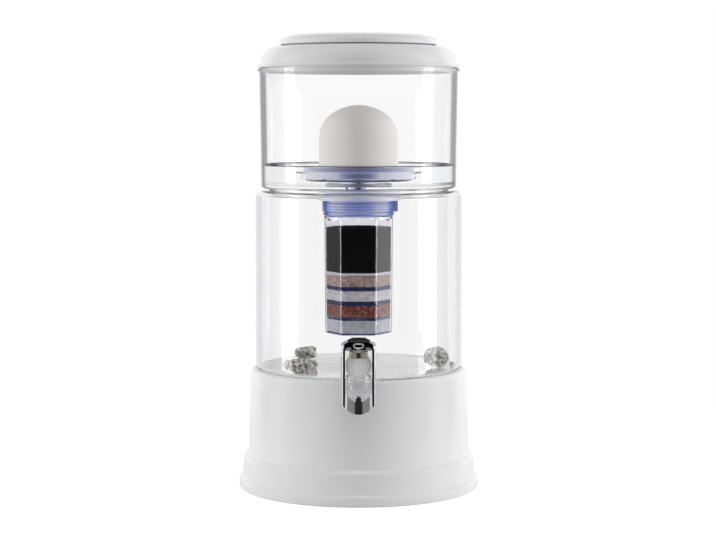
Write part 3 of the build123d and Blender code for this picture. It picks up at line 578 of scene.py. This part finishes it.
def clear_plastic(name, painted_edge_shade, ior):
    material, paint, shader = finish_named(
        name, Base_Color=(1.0, 1.0, 1.0), Roughness=0.0, IOR=ior, Transmission_Weight=1.0)
    # The wall's colour is painted shade, darker towards the silhouette on upright walls.
    feed(paint, shader, Base_Color=paint.ramp(facing_share(paint) * upright(paint), painted_edge_shade))
    let_light_in(paint, shader)
    return material


# %% [markdown]
# ## Frosted plastic
#
# The valve housing is clear plastic with a milky share: half of its light scatters at once, and the
# rest goes through a slightly rough surface.


# %% Frosted plastic
def frosted_plastic():
    material, paint, shader = finish_named(
        "frosted_plastic", Base_Color=(1.0, 1.0, 1.0), Roughness=0.25, IOR=1.2, Transmission_Weight=0.5)
    feed(paint, shader, Roughness=0.25 + paint.noise(scale=500.0) * 0.1)
    let_light_in(paint, shader)
    return material


# %% [markdown]
# ## Tinted plastics
#
# The dome's base and the cartridge's cap are moulded in blue plastic that light passes through, and
# the two rings above the cap in a paler one. Each tint's ramp runs from the face that looks at the eye
# to the face seen edge on, and it paints shade into the colour: darker in the middle on the base, its
# rim, the rings and the seals, and darker towards the edge on the cap and the navy plastic. The cap's
# thread shows as fine rings of painted shade.

# %% Tinted plastics
# Tint ramps with painted shade, from the face that looks at the eye to the face seen edge on.
BASE_TINT_AND_PAINTED_SHADE = [(0.0, (0.2, 0.22, 0.44)), (0.02, (0.3, 0.33, 0.58)), (0.07, (0.72, 0.75, 0.95)),
             (0.3, (0.85, 0.86, 0.97)), (0.65, (0.93, 0.93, 0.98))]
RIM_TINT_AND_PAINTED_SHADE = [(0.0, (0.3, 0.33, 0.6)), (0.08, (0.42, 0.45, 0.72)), (0.3, (0.62, 0.64, 0.88)),
            (0.7, (0.85, 0.86, 0.97))]
RING_TINT_AND_PAINTED_SHADE = [(0.0, (0.7, 0.73, 0.95)), (0.06, (0.9, 0.91, 1.0)), (0.4, (0.97, 0.97, 1.0)),
             (0.7, (0.8, 0.82, 0.97))]
SEAL_TINT_AND_PAINTED_SHADE = [(0.0, (0.75, 0.76, 0.97)), (0.1, (0.9, 0.9, 1.0)), (0.8, (0.96, 0.96, 1.0))]
CAP_TINT_AND_PAINTED_SHADE = [(0.0, (0.38, 0.46, 1.0)), (0.05, (0.42, 0.5, 1.0)), (0.13, (0.7, 0.76, 1.0)),
            (0.33, (0.68, 0.74, 1.0)), (0.46, (0.3, 0.4, 0.95)), (0.58, (0.03, 0.05, 0.33))]
NAVY_TINT_AND_PAINTED_SHADE = [(0.0, (0.05, 0.08, 0.3)), (0.65, (0.02, 0.03, 0.15))]
# The thread is dented by a bump, and its rings are painted darker as shade.
THREAD_PITCH = 3.2 * MM
THREAD_DEPTH = 0.4 * MM
THREAD_PAINTED_SHADE = 0.4


def tinted(name, stops, transmission, roughness=0.08, ior=1.35, threaded=False):
    """Tinted clear plastic with shade painted in by the angle to the eye, and where it is threaded the
    rings of a thread, sin(2 pi z / pitch), painted darker as shade.
    """
    material, paint, shader = finish_named(
        name, Base_Color=stops[0][1], Roughness=roughness, IOR=ior, Transmission_Weight=transmission)
    # Painted shade: the ramp darkens the tint by the angle to the eye.
    colour = paint.ramp(facing_share(paint), stops)
    if threaded:
        # Painted shade: the thread's rings are mixed towards the ramp's last, darkest colour.
        ring = (paint.axis("Z") * (2 * math.pi / THREAD_PITCH)).sine()
        colour = paint.mix(ring.between(0.3, 1.0) * THREAD_PAINTED_SHADE, colour, stops[-1][1])
        feed(paint, shader, Normal=paint.bump(ring, THREAD_DEPTH))
    feed(paint, shader, Base_Color=colour)
    let_light_in(paint, shader)
    return material


# %% [markdown]
# ## Ceramic, rubber and plain metals
#
# The dome is unglazed ceramic, with a fine tooth and faint cloudy patches. The washers in the tap
# are matt silicone. The ring on the tap is gold plate, and the pin and spring are steel.


# %% Ceramic, rubber and metal
def ceramic():
    material, paint, shader = finish_named("ceramic", Base_Color=(0.86, 0.84, 0.82), Roughness=0.75)
    cloud = paint.noise(scale=30.0, detail=4.0)
    tooth = paint.noise(scale=2500.0, detail=2.0)
    feed(paint, shader, Base_Color=paint.mix(cloud, (0.93, 0.905, 0.89), (0.87, 0.845, 0.83)),
         Normal=paint.bump(tooth, distance=0.2 * MM, strength=0.5))
    return material


def silicone():
    material, paint, shader = finish_named("silicone", Base_Color=(0.8, 0.8, 0.8), Roughness=0.6)
    feed(paint, shader, Roughness=0.55 + paint.noise(scale=600.0) * 0.15)
    return material


def metal(name, colour, roughness):
    material, paint, shader = finish_named(name, Base_Color=colour, Metallic=1.0, Roughness=roughness)
    feed(paint, shader, Roughness=roughness + paint.noise(scale=400.0) * 0.04)
    return material


# %% [markdown]
# ## Chrome of the lever
#
# A chrome piece is all reflection, so the slope of its surface decides what it shows. The lever's
# crown and thumb piece lean back a little: their normals are tipped upwards, and they mirror the
# dark above. The raised oval on the thumb piece is satin, and stands out pale on the black.

# %% Lever's chrome
CROWN_START = -2.0 * MM         # from the thumb piece's lower edge
CROWN_FULL = 1.0 * MM
CROWN_LEAN = 0.8
TAB_FACE_HEIGHT = 7.0 * MM
TAB_BEND_BLEND = 1.0 * MM
OVAL_FRONT = 0.1 * MM           # depth behind the oval's front where its satin starts and ends its fade
OVAL_BACK = 0.2 * MM


def oval_front(node, top):
    """How far forward a node reaches below a level."""
    points = frame["nodes"][node].data.vertices
    places = np.empty(len(points) * 3)
    points.foreach_get("co", places)
    _, y, z = places.reshape(-1, 3).T
    return float(y[z < top].min())


def tipped_up(paint, share):
    """Surface normal with a part of the up direction added, and made a unit vector again."""
    facing = paint.node("ShaderNodeNewGeometry").outputs["Normal"]
    lift = paint.node("ShaderNodeCombineXYZ", None, {"Z": share}).outputs[0]
    return paint.vector_sum("NORMALIZE", paint.vector_sum("ADD", facing, lift))


def lever_chrome():
    material, paint, shader = finish_named(
        "chrome", Base_Color=(0.9, 0.9, 0.92), Metallic=1.0, Roughness=0.03)
    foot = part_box("thumb_tab")[0][2]
    bend = foot + TAB_FACE_HEIGHT
    front = oval_front("thumb_tab", bend)
    crown = paint.axis("Z").between(foot + CROWN_START, foot + CROWN_FULL)
    below_bend = 1 - paint.axis("Z").between(bend, bend + TAB_BEND_BLEND)
    proud = 1 - paint.axis("Y").between(front + OVAL_FRONT, front + OVAL_BACK)
    ripple = paint.bump(paint.noise(scale=60.0, detail=1.0), distance=0.4 * MM, strength=0.05,
                        normal=tipped_up(paint, crown * CROWN_LEAN))
    feed(paint, shader, Roughness=0.03 + paint.noise(scale=400.0) * 0.03,
         Metallic=1 - proud * below_bend * crown, Normal=ripple)
    return material


# %% [markdown]
# ## Filter beds
#
# Each bed is a mass of balls or broken grains behind a clear wall. A number from 0 to 1 that every
# ball or grain carries picks its own shade, and Voronoi cells at the size of the pores pit it. The
# felt pads between the beds are single blocks, so there the cells pick the shade.

# %% Grain finishes
PIT_DEPTH = 0.5                 # share of a pore's width


def grains(name, pore, shades, roughness=0.8, own_shade=True, gloss=0.5):
    """Shades spread over the lumps of a bed, or over cells of the pore's size where it is one block."""
    material, paint, shader = finish_named(
        name, Base_Color=shades[0], Roughness=roughness, Specular_IOR_Level=gloss)
    cell = paint.node("ShaderNodeTexVoronoi", None, {"Vector": paint.place(), "Scale": 1.0 / pore})
    if own_shade:
        pick = paint.value("ShaderNodeAttribute", {"attribute_name": "shade"}, None, "Fac")
    else:
        pick = paint.value("ShaderNodeSeparateColor", None, {"Color": cell.outputs["Color"]})
    stops = [(index / (len(shades) - 1), shade) for index, shade in enumerate(shades)]
    back = 1 - Sum(paint, cell.outputs["Distance"])
    feed(paint, shader, Base_Color=paint.ramp(pick, stops), Normal=paint.bump(back, pore * PIT_DEPTH))
    return material


# %% Shades of the beds, from dark to pale
CARBON = [(0.0005, 0.0005, 0.001), (0.002, 0.002, 0.003), (0.006, 0.006, 0.008)]
CLAY = [(0.42, 0.27, 0.23), (0.64, 0.46, 0.4), (0.8, 0.7, 0.66)]
RED_CLAY = [(0.15, 0.03, 0.018), (0.38, 0.1, 0.06), (0.6, 0.3, 0.24)]
ZEOLITE = [(0.7, 0.67, 0.7), (0.93, 0.9, 0.93), (1.0, 0.98, 1.0)]
SILICA = [(0.5, 0.5, 0.56), (0.76, 0.75, 0.82), (0.93, 0.93, 0.98)]
FELT = [(0.006, 0.012, 0.07), (0.012, 0.02, 0.1), (0.03, 0.04, 0.16)]
PALE_FELT = [(0.6, 0.6, 0.68), (0.75, 0.75, 0.82), (0.88, 0.88, 0.94)]

# %% [markdown]
# ## Rock
#
# The stones on the tank's floor are grey rock with pale and dark patches of a few millimetres, and
# small pits. Noise makes the patches, and the middles of small Voronoi cells make the pits, which the
# bump dents and the colour darkens as painted shade.

# %% Rock
ROCK_TONES_AND_PIT_SHADE = [(0.0, (0.02, 0.02, 0.018)), (0.35, (0.16, 0.155, 0.14)), (0.7, (0.5, 0.49, 0.47)),
        (1.0, (0.85, 0.84, 0.82))]


def stone_finish():
    material, paint, shader = finish_named("stone", Base_Color=(0.4, 0.4, 0.38), Roughness=0.85)
    patches = paint.noise(scale=260.0, detail=6.0)
    cell = paint.value("ShaderNodeTexVoronoi", None, {"Vector": paint.place(), "Scale": 520.0}, "Distance")
    pit_hollows_and_shade = cell.between(0.12, 0.34)
    # The pits darken the colour, painted shade in the hollows; the patches are the rock's own tone.
    shade = (patches.between(0.32, 0.66) * 0.7 + 0.3) * (pit_hollows_and_shade * 0.75 + 0.25)
    feed(paint, shader, Base_Color=paint.ramp(shade, ROCK_TONES_AND_PIT_SHADE),
         Normal=paint.bump(pit_hollows_and_shade * 0.5 + patches, distance=1.2 * MM))
    return material


# %% [markdown]
# ## Dress the construction pieces
#
# Every node of the construction model takes the finish that its record names. Four clear pieces
# get one of their own, because each is thinner, paler or bends light less than its neighbours, and
# each one's ramp paints its own edge shade.

# %% All finishes
LOWER_TANK_IOR = 1.42
UPPER_TANK_IOR = 1.3

FINISHES = {
    "white_plastic": white_plastic(),
    "clear_plastic": clear_plastic("clear_plastic", LOWER_EDGE_PAINTED_SHADE, LOWER_TANK_IOR),
    "frosted_plastic": frosted_plastic(),
    "ceramic": ceramic(),
    "blue_clear_plastic": tinted("blue_clear_plastic", BASE_TINT_AND_PAINTED_SHADE, 0.95, roughness=0.0, ior=1.12),
    "navy_plastic": tinted("navy_plastic", NAVY_TINT_AND_PAINTED_SHADE, 0.0, roughness=0.3, ior=1.45),
    "lavender_plastic": tinted("lavender_plastic", RING_TINT_AND_PAINTED_SHADE, 0.45, ior=1.2),
    "blue_plastic": tinted("blue_plastic", CAP_TINT_AND_PAINTED_SHADE, 0.25, threaded=True),
    "silicone": silicone(),
    "chrome": lever_chrome(),
    "gold_plated": metal("gold_plated", (0.92, 0.83, 0.74), roughness=0.1),
    "steel": metal("steel", (0.62, 0.62, 0.63), roughness=0.25),
    "carbon": grains("carbon", 0.7 * MM, CARBON, roughness=0.6, gloss=0.1),
    "clay_balls": grains("clay_balls", 0.6 * MM, CLAY, roughness=0.6),
    "red_balls": grains("red_balls", 0.6 * MM, RED_CLAY, roughness=0.5),
    "zeolite": grains("zeolite", 0.7 * MM, ZEOLITE),
    "silica": grains("silica", 0.7 * MM, SILICA),
    "felt": grains("felt", 0.6 * MM, FELT, own_shade=False),
    "pale_felt": grains("pale_felt", 0.6 * MM, PALE_FELT, own_shade=False),
    "stone": stone_finish(),
}
print("finishes:", len(FINISHES))

# %% Dress the nodes
OWN_FINISH = {
    "cartridge_body": clear_plastic("jar_plastic", JAR_EDGE_PAINTED_SHADE, 1.47),
    "spout_cup": clear_plastic("cup_plastic", CUP_EDGE_PAINTED_SHADE, 1.35),
    "floor_washer": tinted("seal_rubber", SEAL_TINT_AND_PAINTED_SHADE, 0.6, roughness=0.3, ior=1.2),
    "cartridge_seal": tinted("ring_rubber", SEAL_TINT_AND_PAINTED_SHADE, 0.6, roughness=0.3, ior=1.2),
}
for entry in frame["record"]["subparts"]:
    for slot in frame["nodes"][entry["node"]].material_slots:
        slot.material = OWN_FINISH.get(entry["node"], FINISHES[entry["material_slot"]])
print("dressed", len(frame["nodes"]), "nodes")

# %% [markdown]
# ## Measures from the construction model
#
# The pieces below are built round the construction model's own, so their sizes come from its boxes.
# A size that a box can't give, such as a rounding, is named beside the piece.


# %% Measures
def span(node):
    """Largest radius, lowest and highest level of a round piece, in metres."""
    low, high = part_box(node)
    return high[0], low[2], high[2]


def middle(node):
    """Level of a piece's middle."""
    low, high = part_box(node)
    return (low[2] + high[2]) / 2


# %% [markdown]
# ## Lower tank
#
# The construction model's round walls are made of flat strips, which clear plastic shows as wavy
# lines. The tank is turned again here from its outline, with enough steps to look round. The hole
# for the tap is then drilled with a Boolean. Two extra rings in the outline, above and below the
# hole, keep the long thin faces that a Boolean leaves away from the rest of the wall.

# %% Sizes of the lower tank
WALL = 3.0 * MM
HEEL_ROUND = 6.0 * MM
INNER_HEEL_ROUND = 3.0 * MM
SHOULDER_ROUND = 8.2 * MM
INNER_SHOULDER_ROUND = 5.2 * MM
COLLAR_INSET = 15.5 * MM        # collar's outside, in from the wall
COLLAR_HEIGHT = 4.2 * MM
COLLAR_WALL = 3.6 * MM
RIM_ROUND = 1.0 * MM
TAP_HOLE = 8.3 * MM
HOLE_MARGIN = 1.0 * MM
DRILL_LENGTH = 40.0 * MM


# %% Drill
def settle(piece):
    """Makes a piece's modifiers part of its mesh."""
    shaped = piece.evaluated_get(bpy.context.evaluated_depsgraph_get())
    mesh = bpy.data.meshes.new_from_object(shaped)
    piece.modifiers.clear()
    piece.data = mesh


def drill_at(level, radius):
    """Cylinder that lies along Y, through the front wall."""
    work = bmesh.new()
    bmesh.ops.create_cone(work, cap_ends=True, segments=64, radius1=TAP_HOLE, radius2=TAP_HOLE,
                          depth=DRILL_LENGTH)
    bmesh.ops.rotate(work, verts=work.verts, matrix=Matrix.Rotation(math.pi / 2, 3, "X"))
    bmesh.ops.translate(work, verts=work.verts, vec=(0, -radius, level))
    mesh = bpy.data.meshes.new("drill")
    work.to_mesh(mesh)
    work.free()
    drill = bpy.data.objects.new("drill", mesh)
    bpy.context.scene.collection.objects.link(drill)
    return drill


def drill_front(piece, level, radius):
    """Round hole through the front wall."""
    drill = drill_at(level, radius)
    cut = piece.modifiers.new("hole", "BOOLEAN")
    cut.object = drill
    cut.solver = "EXACT"
    settle(piece)
    piece.data.set_sharp_from_angle(angle=math.radians(35))
    bpy.data.objects.remove(drill)


# %% Lower tank
def smooth_lower_tank():
    radius, bottom, top = span("lower_tank")
    inner = radius - WALL
    collar = radius - COLLAR_INSET
    mouth = collar - COLLAR_WALL
    shoulder = top - COLLAR_HEIGHT
    tap_level = middle("tap_nut")
    under_hole = tap_level - TAP_HOLE - HOLE_MARGIN
    over_hole = tap_level + TAP_HOLE + HOLE_MARGIN
    tank = lathe("clear_lower_tank", [
        (0, bottom), (radius, bottom, HEEL_ROUND), (radius, under_hole), (radius, over_hole),
        (radius, shoulder, SHOULDER_ROUND), (collar, shoulder, RIM_ROUND), (collar, top, RIM_ROUND),
        (mouth, top, RIM_ROUND), (mouth, shoulder - WALL, RIM_ROUND),
        (inner, shoulder - WALL, INNER_SHOULDER_ROUND), (inner, over_hole), (inner, under_hole),
        (inner, bottom + WALL, INNER_HEEL_ROUND), (0, bottom + WALL),
    ], FINISHES["clear_plastic"], "lower_tank", closed=False)
    drill_front(tank, tap_level, radius)
    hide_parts("lower_tank")


smooth_lower_tank()

# %% [markdown]
# ## Upper tank
#
# The upper tank opens a little towards its rim, as moulded tanks do so that they leave the mould.
# It stands on a ring under its floor, has a hole in the middle of the floor, and a lip that the lid
# rests on.

# %% Upper tank
RIM_INSET = 2.1 * MM            # wall's outside at the rim, in from the lip
TAPER = 2.1 * MM                # how much narrower the foot is than the rim
FOOT_RING = 2.0 * MM
FOOT_RING_INSET = 8.6 * MM
LIP_BELOW_RIM = 1.2 * MM
LIP_HEIGHT = 3.2 * MM
FLOOR_HOLE = 12.3 * MM
BOWL_ROUND = 3.5 * MM


def smooth_upper_tank():
    lip, foot, rim = span("upper_tank")
    top_radius = lip - RIM_INSET
    radius = top_radius - TAPER
    ring = radius - FOOT_RING_INSET
    underside = foot + FOOT_RING
    lip_top = rim - LIP_BELOW_RIM
    lip_bottom = lip_top - LIP_HEIGHT
    tank = lathe("clear_upper_tank", [
        (FLOOR_HOLE, underside), (ring, underside, 0.8 * MM), (ring, foot, 0.8 * MM),
        (radius, foot, BOWL_ROUND), (top_radius, lip_bottom, 0.5 * MM), (lip, lip_bottom, 1.2 * MM),
        (lip, lip_top, 1.2 * MM), (top_radius, lip_top, 0.4 * MM), (top_radius, rim, 0.6 * MM),
        (top_radius - WALL, rim, 0.8 * MM), (radius - WALL, underside + WALL, BOWL_ROUND),
        (FLOOR_HOLE, underside + WALL),
    ], clear_plastic("upper_tank_plastic", UPPER_EDGE_PAINTED_SHADE, UPPER_TANK_IOR), "upper_tank")
    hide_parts("upper_tank")


smooth_upper_tank()

# %% [markdown]
# ## Water in the upper tank
#
# The filter stands part filled. The water is one lathed body. It reaches a little way into the
# walls, so that light goes from plastic straight into water with no film of air between, and it
# climbs the wall in a small meniscus. Where it climbs, the water's colour is painted nearly black,
# as painted shade for the light that the climb bends away from the eye.

# %% Water
WATER_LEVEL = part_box("upper_tank")[0][2] + 26.2 * MM
WATER_OVERLAP = 0.4 * MM
MENISCUS = 1.6 * MM
MENISCUS_WIDTH = 2.2 * MM
WATER_TINT = (0.985, 0.99, 1.0)
MENISCUS_PAINTED_SHADE = (0.08, 0.08, 0.1)


def water_finish():
    material, paint, shader = finish_named(
        "water", Base_Color=WATER_TINT, Roughness=0.0, IOR=1.333, Transmission_Weight=1.0)
    # Painted shade: the water is coloured nearly black where it climbs the wall.
    painted_meniscus_shade = paint.axis("Z").between(WATER_LEVEL + 0.1 * MM, WATER_LEVEL + 0.6 * MM)
    feed(paint, shader, Base_Color=paint.mix(painted_meniscus_shade, WATER_TINT, MENISCUS_PAINTED_SHADE))
    let_light_in(paint, shader)
    return material


def upper_water():
    lip, foot, rim = span("upper_tank")
    inner = lip - RIM_INSET - TAPER - WALL
    floor = foot + FOOT_RING + WALL - WATER_OVERLAP
    slope = TAPER / (rim - foot)
    wet = inner + slope * (WATER_LEVEL - foot) + WATER_OVERLAP
    lathe("upper_water", [
        (0, floor), (inner + WATER_OVERLAP, floor, BOWL_ROUND), (wet, WATER_LEVEL + MENISCUS),
        (wet - 0.7 * MM, WATER_LEVEL + MENISCUS * 0.5),
        (wet - MENISCUS_WIDTH, WATER_LEVEL, 1.2 * MM), (0, WATER_LEVEL),
    ], water_finish(), "upper_tank", closed=False, smooth_angle=60.0)


upper_water()

# %% [markdown]
# ## Rim of the dome's base
#
# The ceramic dome is cemented into a cup of tinted plastic. The cup's thin rim hides the joint, up to
# about the water's level.

# %% Rim of the dome's base
RIM_GAP = 0.25 * MM             # between the dome and the rim
RIM_THICKNESS = 1.35 * MM
RIM_FLARE = 0.6 * MM            # how much further out the rim's foot reaches
RIM_BELOW_WATER = 0.4 * MM
RIM_ABOVE_BASE = 0.05 * MM


def dome_rim():
    inner = span("ceramic_dome")[0] + RIM_GAP
    outer = inner + RIM_THICKNESS
    foot = span("dome_base")[2] + RIM_ABOVE_BASE
    top = WATER_LEVEL - RIM_BELOW_WATER
    lathe("dome_rim", [(inner, foot), (outer + RIM_FLARE, foot), (outer, top), (inner, top)],
          tinted("rim_plastic", RIM_TINT_AND_PAINTED_SHADE, 1.0, roughness=0.0, ior=1.08), "dome")


dome_rim()

# %% [markdown]
# ## One ball, one broken grain
#
# The beds hold thousands of lumps, so one lump has only a few dozen faces. A ball is a coarse
# sphere that smooth shading rounds off. A broken grain is a coarser one, with its points pushed in
# and out and its faces left flat.


# %% Lumps
def ball(meridians=8, rows=7):
    """Sphere of radius 1 at longitude u and latitude v: (cos v cos u, cos v sin u, sin v)."""
    around = np.linspace(0, 2 * np.pi, meridians, endpoint=False)
    rise = np.radians(np.linspace(-90, 90, rows))[:, None]
    grid = np.stack([np.cos(rise) * np.cos(around), np.cos(rise) * np.sin(around),
                     np.sin(rise) * np.ones(meridians)], axis=-1)
    return grid.reshape(-1, 3), grid_faces(rows, meridians, False, True)


def broken_grain(seed):
    """A coarse ball with each point pushed in or out at random, so that it looks split."""
    points, faces = ball(6, 5)
    pushed = np.random.default_rng(seed).uniform(0.72, 1.12, (5, 6, 1))
    pushed[0], pushed[-1] = 0.9, 0.95
    return points * pushed.reshape(-1, 1), faces


# %% [markdown]
# ## Where the lumps lie
#
# The beds stand behind a six-sided wall, so only their outer layer and their top show. Rows of lumps
# follow the six sides, every second row half a step on, as packed balls do. The top is a spiral with
# the golden angle, which spreads points evenly over a disc.

# %% Places
SIDE_TURNS = np.radians(np.arange(6) * 60.0)
LUMP_INSET = 0.3 * MM
ROW_SHARE = 0.97                # share of a side that its row fills
JITTER = 0.12                   # share of a lump's size
HEAP_SPREAD = 1.08


def six_sided_rows(node, size, tightness):
    """Centres of the lumps: rows along the six sides, every second row half a step on."""
    low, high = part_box(node)
    rng = np.random.default_rng(11)
    half_width = high[1] - size / 2 - LUMP_INSET
    rows = max(int((high[2] - low[2]) / (size * tightness)), 1)
    level = low[2] + size / 2 + (np.arange(rows) / max(rows - 1, 1)) * (high[2] - low[2] - size)
    side = 2 * half_width / math.sqrt(3)
    steps = max(int(side / (size * tightness)), 1)
    offset = 0.5 * (np.arange(rows)[:, None, None] % 2)
    along = ((np.arange(steps)[None, None, :] + offset) / steps - 0.5) * side * ROW_SHARE
    along = along + np.zeros((rows, 6, steps))
    out = np.full_like(along, -half_width)
    turn = SIDE_TURNS[None, :, None]
    x = along * np.cos(turn) - out * np.sin(turn)
    y = along * np.sin(turn) + out * np.cos(turn)
    z = np.broadcast_to(level[:, None, None], x.shape)
    centres = np.stack([x, y, z], axis=-1).reshape(-1, 3)
    return centres + rng.uniform(-JITTER, JITTER, centres.shape) * size * (1, 1, 0.5)


def heap(node, size, tightness):
    """Centres over the top of a bed: radius as the root of the count, turned by the golden angle."""
    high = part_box(node)[1]
    half_width = high[1] - size
    count = int(0.5 * (2 * half_width / (size * tightness)) ** 2) * 2
    number = np.arange(count) + 0.5
    radius = half_width * HEAP_SPREAD * np.sqrt(number / count)
    angle = number * math.pi * (3 - math.sqrt(5))
    x, y = radius * np.cos(angle), radius * np.sin(angle)
    reach = np.max([x * math.cos(turn) + y * math.sin(turn) for turn in SIDE_TURNS + math.pi / 2], axis=0)
    z = np.full(count, high[2] - size * 0.5)
    return np.stack([x, y, z], axis=-1)[reach < half_width]


# %% [markdown]
# ## Copies of a lump
#
# All copies of a bed's lump are worked out in one step, as an array of turns times an array of
# points. Each copy has its own size, turn and shade, and the shade is kept on the mesh for the
# finish to read.


# %% Scatter
def spun(count, rng):
    """Random turns: the matrix of a unit quaternion (w, x, y, z)."""
    drawn = rng.normal(size=(4, count))
    w, x, y, z = drawn / np.linalg.norm(drawn, axis=0)
    return np.stack([
        np.stack([1 - 2 * (y * y + z * z), 2 * (x * y - w * z), 2 * (x * z + w * y)], -1),
        np.stack([2 * (x * y + w * z), 1 - 2 * (x * x + z * z), 2 * (y * z - w * x)], -1),
        np.stack([2 * (x * z - w * y), 2 * (y * z + w * x), 1 - 2 * (x * x + y * y)], -1)], -2)


def give_shade(mesh, shades):
    mesh.attributes.new("shade", "FLOAT", "POINT").data.foreach_set("value", shades)


def scatter(name, centres, lump, size, spread, material, seed, flat):
    """Copies of a lump at the centres: size * lump turned at random, plus the centre."""
    rng = np.random.default_rng(seed)
    points, faces = lump
    sizes = size / 2 * rng.uniform(1 - spread, 1 + spread, (len(centres), 1, 1))
    placed = np.einsum("nij,pj->npi", spun(len(centres), rng), points) * sizes + centres[:, None, :]
    joined = (faces[None] + np.arange(len(centres))[:, None, None] * len(points)).reshape(-1, 4)
    mesh = bpy.data.meshes.new(name)
    mesh.from_pydata(placed.reshape(-1, 3).tolist(), [], joined.tolist())
    give_shade(mesh, np.repeat(rng.uniform(0, 1, len(centres)), len(points)))
    close_seams(mesh, 1e-7)
    if flat:
        mesh.shade_flat()
    else:
        mesh.shade_smooth()
    print(f"{name}: {len(centres)} lumps, {len(mesh.polygons)} faces")
    return shown_on(name, mesh, material, "cartridge")


# %% [markdown]
# ## The five beds
#
# From the outlet up the cartridge holds silica sand, red clay balls, zeolite, brown clay balls and
# carbon. A plain six-sided core inside each layer of lumps closes the gaps between them, in a tone
# near the dark end of the bed's shades, as painted shade in the gaps. The carbon has settled a little
# below the level it was filled to.

# %% Beds
# The core's tone is picked near the dark end of the bed's shades: painted shade for the gaps between lumps.
CORE_TONE_AND_GAP_SHADE = 0.1
CARBON_SETTLED = 2.6 * MM


def core(node, inset, material, settled):
    """Six-sided block inside a bed."""
    low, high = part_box(node)
    across = (high[1] - inset) / math.cos(math.radians(30))
    ring = np.stack([across * np.cos(SIDE_TURNS), across * np.sin(SIDE_TURNS)], axis=-1)
    levels = [low[2] + inset * 0.2, high[2] - inset * 0.9 - settled]
    points = np.concatenate([np.column_stack([ring, np.full(6, level)]) for level in levels])
    sides = grid_faces(2, 6, False, True)
    mesh = bpy.data.meshes.new(node + "_core")
    mesh.from_pydata(points.tolist(), [], sides.tolist() + [list(range(5, -1, -1)), list(range(6, 12))])
    give_shade(mesh, np.full(len(points), CORE_TONE_AND_GAP_SHADE))
    shown_on(node + "_core", mesh, material, "cartridge")


def bed(node, size, tightness, slot, lump, spread, flat=False, seed=1, settled=0.0):
    """A bed's outer layer and its heaped top in one piece, with a plain core behind."""
    centres = np.concatenate([six_sided_rows(node, size, tightness), heap(node, size, tightness)])
    low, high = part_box(node)
    centres[:, 2] = low[2] + (centres[:, 2] - low[2]) * (1 - settled / (high[2] - low[2]))
    name = node.replace("_bed", "") + "_layer"
    layer = scatter(name, centres, lump, size, spread, FINISHES[slot], seed, flat)
    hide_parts(node)
    core(node, size * 0.75, FINISHES[slot], settled)


bed("red_ball_bed", 1.9 * MM, 0.86, "red_balls", ball(), 0.08, seed=1)
bed("clay_ball_bed", 2.1 * MM, 0.86, "clay_balls", ball(), 0.1, seed=2)
bed("zeolite_bed", 2.3 * MM, 0.72, "zeolite", broken_grain(5), 0.3, True, seed=3)
bed("silica_bed", 1.5 * MM, 0.72, "silica", broken_grain(6), 0.3, True, seed=4)
bed("carbon_bed", 2.1 * MM, 0.79, "carbon", broken_grain(7), 0.3, True, seed=5, settled=CARBON_SETTLED)

# %% [markdown]
# ## Mineral stones
#
# The stones on the lower tank's floor are broken rock. Each starts as a fine sphere, is cut flat by
# a few random planes, and is roughened by waves of several lengths.

# %% Stones
STONES = (                # bearing, in from the wall, width, depth, height (mm) and turn
    (138.4, 31.0, 31.0, 23.0, 17.0, 20.0), (222.8, 24.0, 35.0, 25.0, 17.0, -15.0),
    (352.2, 26.5, 33.0, 25.0, 24.0, 30.0), (203.3, 59.8, 9.0, 8.0, 9.0, 50.0),
    (352.5, 7.4, 7.0, 6.0, 7.0, 10.0))
CUTS = 14
CUT_DEPTH = (0.66, 0.92)
WAVES = ((3.0, 0.05), (7.0, 0.035), (15.0, 0.022), (31.0, 0.012))      # waves in a turn, and height


def rough_sphere(seed, rows=56, around=80):
    """Unit sphere direction d cut by planes, min(1, c / (n . d)), plus short waves sin(k . d)."""
    rng = np.random.default_rng(seed)
    rise = np.radians(np.linspace(-90, 90, rows))[:, None]
    turn = np.linspace(0, 2 * np.pi, around, endpoint=False)
    facing = np.stack([np.cos(rise) * np.cos(turn), np.cos(rise) * np.sin(turn),
                       np.sin(rise) * np.ones(around)], axis=-1)
    normals = rng.normal(size=(CUTS, 3))
    normals /= np.linalg.norm(normals, axis=1, keepdims=True)
    depth = rng.uniform(*CUT_DEPTH, CUTS)
    lean = np.maximum(facing @ normals.T, 1e-3)
    radius = np.minimum(1.0, (depth / lean).min(axis=-1))
    for count, height in WAVES:
        waves = rng.normal(size=(5, 3)) * count
        radius = radius + height * np.sin(facing @ waves.T + rng.uniform(0, 6.28, 5)).mean(axis=-1)
    return facing * radius[..., None], grid_faces(rows, around, False, True)


def stone_at(seed, place, size, turn):
    """Points of one stone: scaled to its size, set down, turned by its own angle and moved to its place."""
    points, quads = rough_sphere(seed)
    points = points.reshape(-1, 3) / np.abs(points).reshape(-1, 3).max(axis=0)
    points = points * np.array(size) / 2 * MM
    points[:, 2] -= points[:, 2].min()
    cosine, sine = math.cos(math.radians(turn)), math.sin(math.radians(turn))
    points[:, :2] = points[:, :2] @ np.array(((cosine, sine), (-sine, cosine)))
    return points + place, quads


def stones():
    radius, bottom, _ = span("lower_tank")
    pieces, faces, count = [], [], 0
    for number, (bearing, from_wall, width, depth, height, turn) in enumerate(STONES):
        out = radius - WALL - from_wall * MM
        way = math.radians(bearing)
        place = (out * math.cos(way), out * math.sin(way), bottom + WALL)
        points, quads = stone_at(number + 3, place, (width, depth, height), turn)
        pieces.append(points)
        faces.append(quads + count)
        count += len(points)
    made = piece_from("rock_stones", np.concatenate(pieces), np.concatenate(faces), FINISHES["stone"],
                      "lower_tank", 50.0)
    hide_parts("mineral_stones")


stones()
